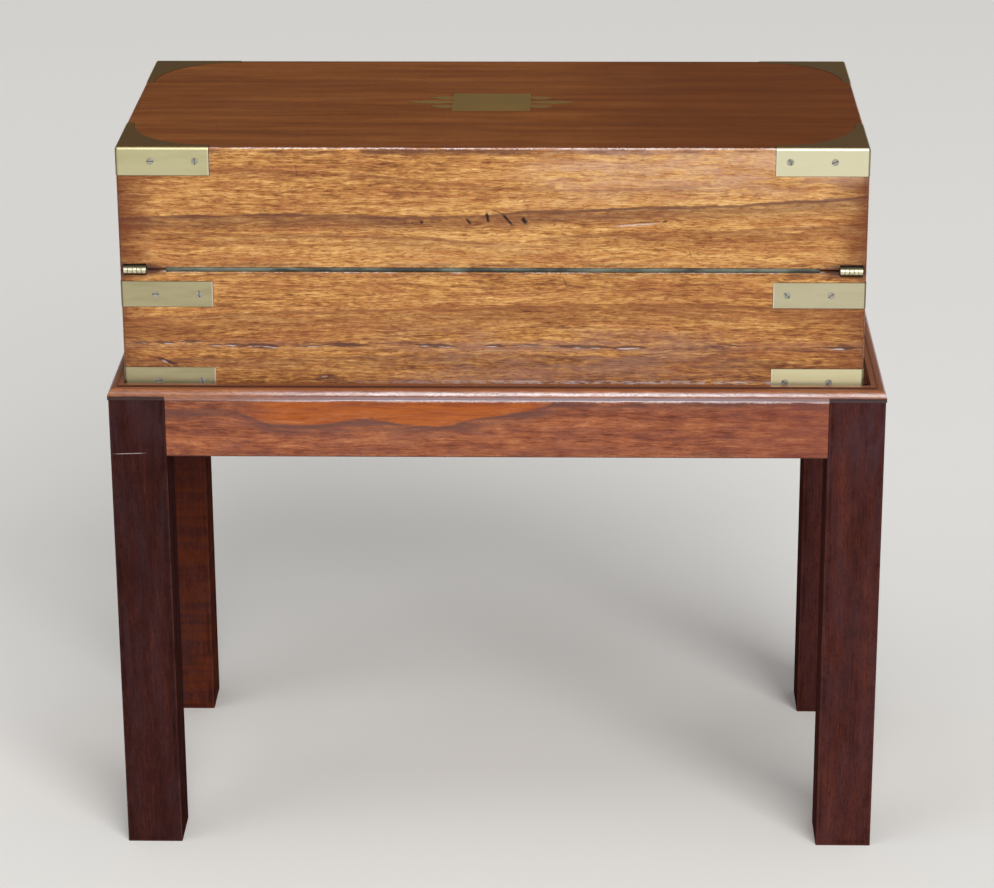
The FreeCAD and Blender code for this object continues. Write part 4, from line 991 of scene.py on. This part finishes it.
def paint_woods():
    walls = (("hinge_side", "xzy"), ("lock_side", "xzy"), ("left", "yzx"), ("right", "yzx"))
    halves = (("lid", lid_arris, upper_front), ("base", base_arris, lower_front))
    for turn, (side, order) in enumerate(walls):
        for half, arris, dressing in halves:
            shift = (310.0 * turn, 47.0 * turn, 83.0 * turn)
            node = f"{half}_wall_{side}"
            front = dressing if side == "hinge_side" else None
            paint(node, wood(node, box_wood, order, shift, arris, front))
    paint("lid_top", wood("lid_top", shaded_top_wood, "xyz", (120.0, 40.0, 9.0), lid_arris, top_figure))
    paint("base_bottom", wood("base_bottom", inner_wood, "xyz", (70.0, 90.0, 0.0)))
    legs = (
        ("left_hinge_side", shaded_leg), ("right_hinge_side", leg_top),
        ("left_lock_side", rippled_leg), ("right_lock_side", leg_top),
    )
    for turn, (side, figure) in enumerate(legs):
        name = f"leg_{side}"
        paint(name, wood(name, leg_wood, "zxy", (400.0 * turn, 70.0 * turn, 30.0), leg_arris, figure))
    for turn, (side, order) in enumerate(walls):
        shift = (210.0 * turn, 60.0 * turn, 20.0)
        figure = front_rail if side == "hinge_side" else None
        paint(f"rail_{side}", wood(f"rail_{side}", rail_wood, order, shift, rail_arris, figure))
        polish = front_lip if side == "hinge_side" else other_lip
        paint(f"lip_{side}", wood(f"lip_{side}", lip_wood, order, shift, None, polish))
    inner = (
        "base_flap_ledges", "base_divider", "base_partitions", "inkwell_shelves", "pen_tray",
        "tray_bearers", "lid_flap_ledges", "lid_catch_rail", "base_flap", "lid_flap",
    )
    for turn, node in enumerate(inner):
        order = "yxz" if node == "base_partitions" else "xyz"
        paint(node, wood(node, inner_wood, order, (90.0 * turn, 33.0 * turn, 0.0)))


filed_end_highlight = shade(250, 236, 226)
corner_shade = shade(66, 50, 34)
brown_reflection_top = shade(110, 79, 38)
strap_tones = (shade(200, 190, 151), shade(156, 146, 110), brown_reflection_top)

# The looks of brass: its patina and filing lines, in millimetres where its top with its painted reflection,
# the filed ends of the straps with their painted highlight and the corners with their painted shade start,
# and how strongly each tells
patina_patches = ((40.0, 40.0, 9.0), 0.36, 0.7, 4.0, 0.55)
filing_lines = ((30.0, 30.0, 0.5), 3.0, 0.7)
bright_lines = (0.5, 0.8)
line_share = 0.5
top_edge = (0.7, -0.2)
top_share = 0.95
filed_line = (1.0, 0.5)
filed_face = (1.5, 0.5)
filed_highlight_share = 0.45
corner_edge = (1.5, 0.4)
corner_shade_share = 0.75
left_to_right = (-180.0, 180.0)
shaded_left_share = 0.35
lit_right_share = 0.5
patina_gloss_share = 0.1
top_gloss_share = 0.16
patina_relief_share = 0.4
filing_depth = 0.015


def brass(name, light, dull, top, lit_right_colour=None, dull_share=0.5, roughness=0.42):
    """Old brass: fine filing lines, a soft patina, bright filed ends with a painted highlight, painted shade
    at the corners and a dull brown top, which is a painted reflection of brown surroundings.

    Given a colour for the right end, it is painted lighter towards that colour on the right and duller on
    the left, as light falling from the right.
    """
    graph = Graph(name)
    place = graph.place()
    along, across, up = graph.split(place)
    patina = graph.patches(place, *patina_patches)
    lines = graph.noise(place, *filing_lines)
    under_end, under_side, under_top = box_depths(graph)
    on_top = graph.rise(under_top, *top_edge)
    off_long = graph.size(graph.less(graph.size(graph.less(along, box_middle)), half_width - strap_length))
    off_short = graph.size(graph.less(graph.size(across), half_depth - strap_length))
    at_end = graph.either(
        graph.times(graph.rise(off_long, *filed_line), graph.rise(under_side, *filed_face)),
        graph.times(graph.rise(off_short, *filed_line), graph.rise(under_end, *filed_face)),
    )
    colour = graph.mix(graph.times(patina, dull_share), light, dull)
    colour = graph.mix(graph.times(graph.rise(lines, *bright_lines), line_share), colour, light)
    # Painted light from the right, and painted shade on the left
    if lit_right_colour:
        to_right = graph.rise(along, *left_to_right)
        colour = graph.mix(graph.times(graph.less(1.0, to_right), shaded_left_share), colour, dull)
        colour = graph.mix(graph.times(to_right, lit_right_share), colour, lit_right_colour)
    in_corner_shade = graph.rise(graph.either(under_end, under_side), *corner_edge)
    # Bright filed ends, with a painted highlight
    colour = graph.mix(graph.times(at_end, filed_highlight_share), colour, filed_end_highlight)
    # Painted shade where the brass turns round the box's upright corners
    colour = graph.mix(graph.times(in_corner_shade, corner_shade_share), colour, corner_shade)
    # A dull brown top: a painted reflection of brown surroundings
    colour = graph.mix(graph.times(on_top, top_share), colour, top)
    gloss_loss = (graph.times(patina, patina_gloss_share), graph.times(on_top, top_gloss_share))
    return graph.surface(
        Base_Color=colour,
        Metallic=0.85,
        Roughness=graph.add(*gloss_loss, roughness),
        Normal=graph.bump(graph.add(lines, graph.times(patina, patina_relief_share)), filing_depth),
    )


barrel_light = shade(232, 226, 192)
barrel_dirt_and_shade = shade(74, 66, 42)
knuckle_gap = (0.36, 0.46)
barrel_spots = ((1.3, 1.0, 1.0), 0.45, 0.62)
barrel_back_shade = (1.2, 2.2)
knuckle_shade_share = 0.8
spot_share = 0.55
back_shade_share = 0.8
barrel_roughness = 0.36
dark_gloss_share = 0.25
barrel_depth = 0.04


def hinge_brass():
    """Brass of the hinges, spotted with dirt, with painted shade between the knuckles and round the back of
    the barrels.
    """
    graph = Graph("hinge_brass")
    place = graph.place()
    along, across, up = graph.split(place)
    from_start = graph.less(box_depths(graph)[0], hinge_inset)
    knuckle_share = graph.step("FRACT", graph.times(from_start, 1 / knuckle_pitch))
    between = graph.rise(graph.size(graph.less(knuckle_share, 0.5)), *knuckle_gap)
    spots = graph.patches(place, *barrel_spots)
    shaded_back = graph.rise(graph.size(graph.less(up, hinge_height)), *barrel_back_shade)
    # Dirt in spots, and painted shade between the knuckles and behind the barrels
    dirt_and_shade = graph.either(
        graph.times(between, knuckle_shade_share), graph.times(spots, spot_share), graph.times(shaded_back, back_shade_share)
    )
    return graph.surface(
        Base_Color=graph.mix(dirt_and_shade, barrel_light, barrel_dirt_and_shade),
        Metallic=0.8,
        Roughness=graph.add(graph.times(dirt_and_shade, dark_gloss_share), barrel_roughness),
        Normal=graph.bump(graph.less(1.0, dirt_and_shade), barrel_depth),
    )


steel_spots = ((1.6, 1.6, 1.6), 0.4, 0.7, 3.0, 0.5)
steel_light = shade(178, 174, 160)
steel_dull = shade(148, 146, 136)
slot_shade = shade(96, 92, 104)
slot_depth = (-0.15, 0.1)
slot_shade_share = 0.6
steel_roughness = 0.42
steel_gloss_share = 0.2
steel_relief = 0.02


def steel():
    """Dull screw steel, painted nearly black down in the slots as shade."""
    graph = Graph("screw_steel")
    spots = graph.patches(graph.place(), *steel_spots)
    under_end, under_side, under_top = box_depths(graph)
    # Painted shade down in the slots
    in_slot = graph.rise(graph.lower(under_end, graph.lower(under_side, under_top)), *slot_depth)
    colour = graph.mix(spots, steel_light, steel_dull)
    return graph.surface(
        Base_Color=graph.mix(graph.times(in_slot, slot_shade_share), colour, slot_shade),
        Metallic=0.75,
        Roughness=graph.add(graph.times(spots, steel_gloss_share), steel_roughness),
        Normal=graph.bump(spots, steel_relief),
    )


# The gilt lines pressed round a writing leather: how far in each lies, and half its width
gilt = shade(196, 160, 84)
gilt_lines = ((6.0, 0.55), (8.6, 0.25))
gilt_soft_out = 0.15
gilt_soft_in = 0.1
gilt_rubbing = ((12.0, 12.0, 12.0), 0.34, 0.5, 4.0, 0.7)
gilt_share = 0.8


def tooled_border(graph, node):
    """A mask of the gilt lines pressed round a writing leather."""
    low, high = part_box(node)
    along, across, up = graph.split(graph.place())
    inset = graph.lower(
        graph.lower(graph.less(along, low.x * METRE), graph.less(high.x * METRE, along)),
        graph.lower(graph.less(across, low.y * METRE), graph.less(high.y * METRE, across)),
    )
    lines = 0.0
    for distance, half_line in gilt_lines:
        off = graph.size(graph.less(inset, distance))
        lines = graph.either(lines, graph.rise(off, half_line + gilt_soft_out, half_line - gilt_soft_in))
    return graph.times(lines, graph.patches(graph.place(), *gilt_rubbing))


pebble_noise = (3.0, 0.6)
pebble_tops = (0.62, 0.75)
leather_patches = (0.4, 0.62, 4.0)
leather_roughness = 0.45
leather_gloss_share = 0.15
pebble_depth = 0.12


def leather(name, light, dark, grain, patches, bordered=None):
    """Thin polished leather with a fine pebble, rubbed dark in patches of the given size."""
    graph = Graph(name)
    place = graph.place()
    pebble = graph.noise(place, (grain, grain, grain), *pebble_noise)
    patch = graph.patches(place, patches, *leather_patches)
    colour = graph.mix(patch, light, dark)
    colour = graph.mix(graph.rise(pebble, *pebble_tops), colour, light)
    relief = pebble
    if bordered:
        border = tooled_border(graph, bordered)
        colour = graph.mix(graph.times(border, gilt_share), colour, gilt)
        relief = graph.less(pebble, border)
    return graph.surface(
        Base_Color=colour,
        Roughness=graph.add(graph.times(patch, leather_gloss_share), leather_roughness),
        Specular_IOR_Level=0.4,
        Normal=graph.bump(relief, pebble_depth),
    )


glass_swirls = (9.0, 9.0, 9.0)
glass_roughness = 0.02
swirl_gloss_share = 0.04
swirl_depth = 0.05


def glass():
    graph = Graph("ink_glass")
    swirl = graph.noise(graph.place(), glass_swirls)
    return graph.surface(
        Base_Color=graph.mix(swirl, shade(236, 246, 240), shade(246, 252, 248)),
        Roughness=graph.add(graph.times(swirl, swirl_gloss_share), glass_roughness),
        Transmission_Weight=1.0,
        IOR=1.5,
        Normal=graph.bump(swirl, swirl_depth),
    )


def paint_metals():
    lid_tones = (shade(220, 212, 170), shade(180, 172, 130), brown_reflection_top)
    plate_tones = (shade(214, 206, 164), shade(178, 170, 128), shade(150, 117, 60))
    fitting_tones = (shade(206, 182, 128), shade(140, 120, 78), shade(190, 168, 120))
    fittings = (
        "handle_pans", "handle_bail_left", "handle_bail_right", "inkwell_caps", "lock_case", "lock_plate",
        "lock_link_plate", "lock_bolt", "lid_catch_spring",
    )
    screws = (
        "base_strap_screws", "lid_strap_screws", "hinge_pins", "hinge_screws_base", "hinge_screws_lid",
    )
    # The last colour given to the lid, base and foot brass is the painted light on their right-hand ends
    metals = (
        (brass("lid_brass", *lid_tones, shade(238, 234, 206)), ("lid_corner_mounts",)),
        (brass("base_brass", *strap_tones, shade(203, 198, 169)), ("middle_straps", "escutcheon")),
        (brass("foot_brass", *strap_tones, shade(252, 243, 198)), ("bottom_straps",)),
        (brass("plate_brass", *plate_tones), ("name_plate",)),
        (brass("fitting_brass", *fitting_tones, dull_share=0.7, roughness=0.36), fittings),
        (hinge_brass(), ("hinge_leaves_base", "hinge_leaves_lid")),
        (steel(), screws),
        (glass(), ("inkwells",)),
    )
    for material, nodes in metals:
        for node in nodes:
            paint(node, material)


weld_distance = 0.002


def merged_copy(node):
    """A welded copy of a solid's mesh, as a bmesh to work on."""
    shape = bmesh.new()
    shape.from_mesh(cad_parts[node].data)
    bmesh.ops.remove_doubles(shape, verts=shape.verts, dist=weld_distance / METRE)
    return shape


def finished(shape, name, material, smooth=True):
    """An object made of a finished bmesh."""
    mesh = bpy.data.meshes.new(name)
    shape.to_mesh(mesh)
    shape.free()
    mesh.materials.append(material)
    for face in mesh.polygons:
        face.use_smooth = smooth
    made = bpy.data.objects.new(name, mesh)
    bpy.context.scene.collection.objects.link(made)
    return made


seam_growth = 0.5
seam_lift = 0.03


def onto_wood(point, lift):
    """The point drawn in onto the rounded outside of the box, lifted a little."""
    core = Vector((
        max(-half_width + outer_arris, min(half_width - outer_arris, point.x * METRE - box_middle)),
        max(-half_depth + outer_arris, min(half_depth - outer_arris, point.y * METRE)),
        max(box_floor + outer_arris, min(box_top - outer_arris, point.z * METRE)),
    ))
    outward = Vector((point.x * METRE - box_middle, point.y * METRE, point.z * METRE)) - core
    reach = outer_arris + lift
    if outward.length > reach:
        outward = outward.normalized() * reach
    settled = core + outward
    return Vector((settled.x + box_middle, settled.y, settled.z)) / METRE


def seam(node, body, material):
    """The dark line round a brass mount that is let into the wood: old polish and painted shade."""
    shape = merged_copy(node)
    shape.normal_update()
    places = [vertex.co + vertex.normal * seam_growth / METRE for vertex in shape.verts]
    for vertex, place in zip(shape.verts, places):
        vertex.co = onto_wood(place, seam_lift)
    line = finished(shape, node + "_seam", material, False)
    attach(line, body)
    return line


polish_crumbs = ((2.0, 2.0, 2.0), 3.0)
polish_relief = 0.1


# Old polish with painted shade, for the seams round the mounts
def seam_polish_and_shade():
    graph = Graph("seam_polish_and_shade")
    crumbs = graph.noise(graph.place(), *polish_crumbs)
    return graph.surface(
        Base_Color=graph.mix(crumbs, shade(38, 22, 16), shade(66, 42, 28)),
        Roughness=0.6,
        Specular_IOR_Level=0.2,
        Normal=graph.bump(crumbs, polish_relief),
    )


def dress_seams():
    polish = seam_polish_and_shade()
    for node in ("middle_straps", "bottom_straps", "handle_pans", "escutcheon"):
        seam(node, "box_base", polish)
    for node in ("lid_corner_mounts", "name_plate"):
        seam(node, "lid", polish)


hinge_cut_step = 6.0
fold_swell = 0.22
fold_swell_length = 17.0
fold_reach = 3.0


def dress_leather_hinge(material):
    """The leather folded into the joint. It swells and puckers a little along its fold."""
    shape = merged_copy("leather_hinge")
    low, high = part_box("leather_hinge")
    cuts = int((high.x - low.x) * METRE / hinge_cut_step)
    for turn in range(1, cuts):
        place = low.x + (high.x - low.x) * turn / cuts
        bmesh.ops.bisect_plane(
            shape, geom=shape.verts[:] + shape.edges[:] + shape.faces[:],
            plane_co=(place, 0, 0), plane_no=(1, 0, 0),
        )
    shape.normal_update()
    for vertex in shape.verts:
        from_face = vertex.co.y * METRE + half_depth
        near_fold = max(0.0, 1 - from_face / fold_reach)
        pucker = noise.noise(Vector((vertex.co.x * METRE / fold_swell_length, 0, 0)))
        vertex.co += vertex.normal * fold_swell * near_fold * pucker / METRE
    strip = finished(shape, "leather_strip", material)
    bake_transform(strip)
    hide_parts("leather_hinge")


hide_tones = (shade(48, 78, 66), shade(42, 68, 58))
hide_pebble = 1.1
hide_patches = (90.0, 60.0, 60.0)


def dress_flap_leathers():
    """The writing leathers and pull tabs."""
    pieces = (
        ("base_flap_leather", "base_writing_flap", "base_flap_leather"),
        ("base_flap_tab", "base_writing_flap", None),
        ("lid_flap_leather", "lid_writing_flap", "lid_flap_leather"),
        ("lid_flap_tab", "lid_writing_flap", None),
    )
    for node, body, bordered in pieces:
        material = leather(node + "_hide", *hide_tones, hide_pebble, hide_patches, bordered)
        piece = finished(merged_copy(node), node + "_skin", material, False)
        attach(piece, body)
        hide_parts(node)


floor_size = 12.0
floor_colour = shade(226, 224, 220)
floor_glow = 0.06
lamp_distance = 20.0
sky_colour = (0.96, 0.98, 1.0, 1.0)
sky_strength = 0.16
target = Vector((0.0, 0.0, 0.3))

# The lamps: power in watts, side in metres, then in degrees how far round and how high each stands
lamps = (
    ("key", 4020.0, 14.2, 18.0, 34.0),
    ("fill", 500.0, 11.0, -60.0, 40.0),
    ("above", 1000.0, 13.5, 0.0, 85.0),
)


def floor():
    mesh = bpy.data.meshes.new("floor")
    half = floor_size / 2
    corners = [(-half, -half, 0), (half, -half, 0), (half, half, 0), (-half, half, 0)]
    mesh.from_pydata(corners, [], [(0, 1, 2, 3)])
    ground = bpy.data.objects.new("floor", mesh)
    bpy.context.scene.collection.objects.link(ground)
    graph = Graph("floor")
    rays = graph.nodes.new("ShaderNodeLightPath")
    mesh.materials.append(graph.surface(
        Base_Color=floor_colour,
        Roughness=0.9,
        Specular_IOR_Level=0.1,
        Emission_Color=floor_colour,
        Emission_Strength=graph.times(rays.outputs["Is Camera Ray"], floor_glow),
    ))


def soft_lamp(name, power, side, azimuth, height):
    """A square lamp that looks at the object. Azimuth 0 is the hinge side, and it grows to the right."""
    lamp = bpy.data.lights.new(name, "AREA")
    lamp.energy = power
    lamp.size = side
    turn, rise = math.radians(azimuth), math.radians(height)
    away = Vector((math.sin(turn) * math.cos(rise), -math.cos(turn) * math.cos(rise), math.sin(rise)))
    made = bpy.data.objects.new(name, lamp)
    made.location = target + away * lamp_distance
    made.rotation_mode = "QUATERNION"
    made.rotation_quaternion = (-away).to_track_quat("-Z", "Y")
    bpy.context.scene.collection.objects.link(made)


def sky():
    world = bpy.data.worlds.new("studio")
    world.use_nodes = True
    background = world.node_tree.nodes["Background"]
    background.inputs["Color"].default_value = sky_colour
    background.inputs["Strength"].default_value = sky_strength
    bpy.context.scene.world = world


camera_place = Vector((0.055453, -2.323379, 1.119561))
camera_pitch = 20.358
camera_yaw = -1.438
camera_roll = -0.287
camera_lens = 122.82
camera_sensor = 36.0


def camera():
    pitch, yaw, roll = (math.radians(angle) for angle in (camera_pitch, camera_yaw, camera_roll))
    ahead = Vector((math.sin(yaw) * math.cos(pitch), math.cos(yaw) * math.cos(pitch), -math.sin(pitch)))
    right = Vector((math.cos(yaw), -math.sin(yaw), 0))
    up = right.cross(ahead)
    rolled_right = right * math.cos(roll) + up * math.sin(roll)
    rolled_up = up * math.cos(roll) - right * math.sin(roll)
    lens = bpy.data.cameras.new("camera")
    lens.lens = camera_lens
    lens.sensor_width = camera_sensor
    made = bpy.data.objects.new("camera", lens)
    facing = Matrix((rolled_right, rolled_up, -ahead)).transposed().to_4x4()
    made.matrix_world = Matrix.Translation(camera_place) @ facing
    bpy.context.scene.collection.objects.link(made)
    bpy.context.scene.camera = made


strip_tones = (shade(98, 104, 90), shade(46, 46, 40))
strip_pebble = 0.9
strip_patches = (34.0, 12.0, 12.0)

paint_woods()
paint_metals()
dress_seams()
dress_leather_hinge(leather("strip_leather", *strip_tones, strip_pebble, strip_patches))
dress_flap_leathers()
floor()
for lamp in lamps:
    soft_lamp(*lamp)
sky()
camera()
bpy.context.scene.view_settings.view_transform = "Standard"
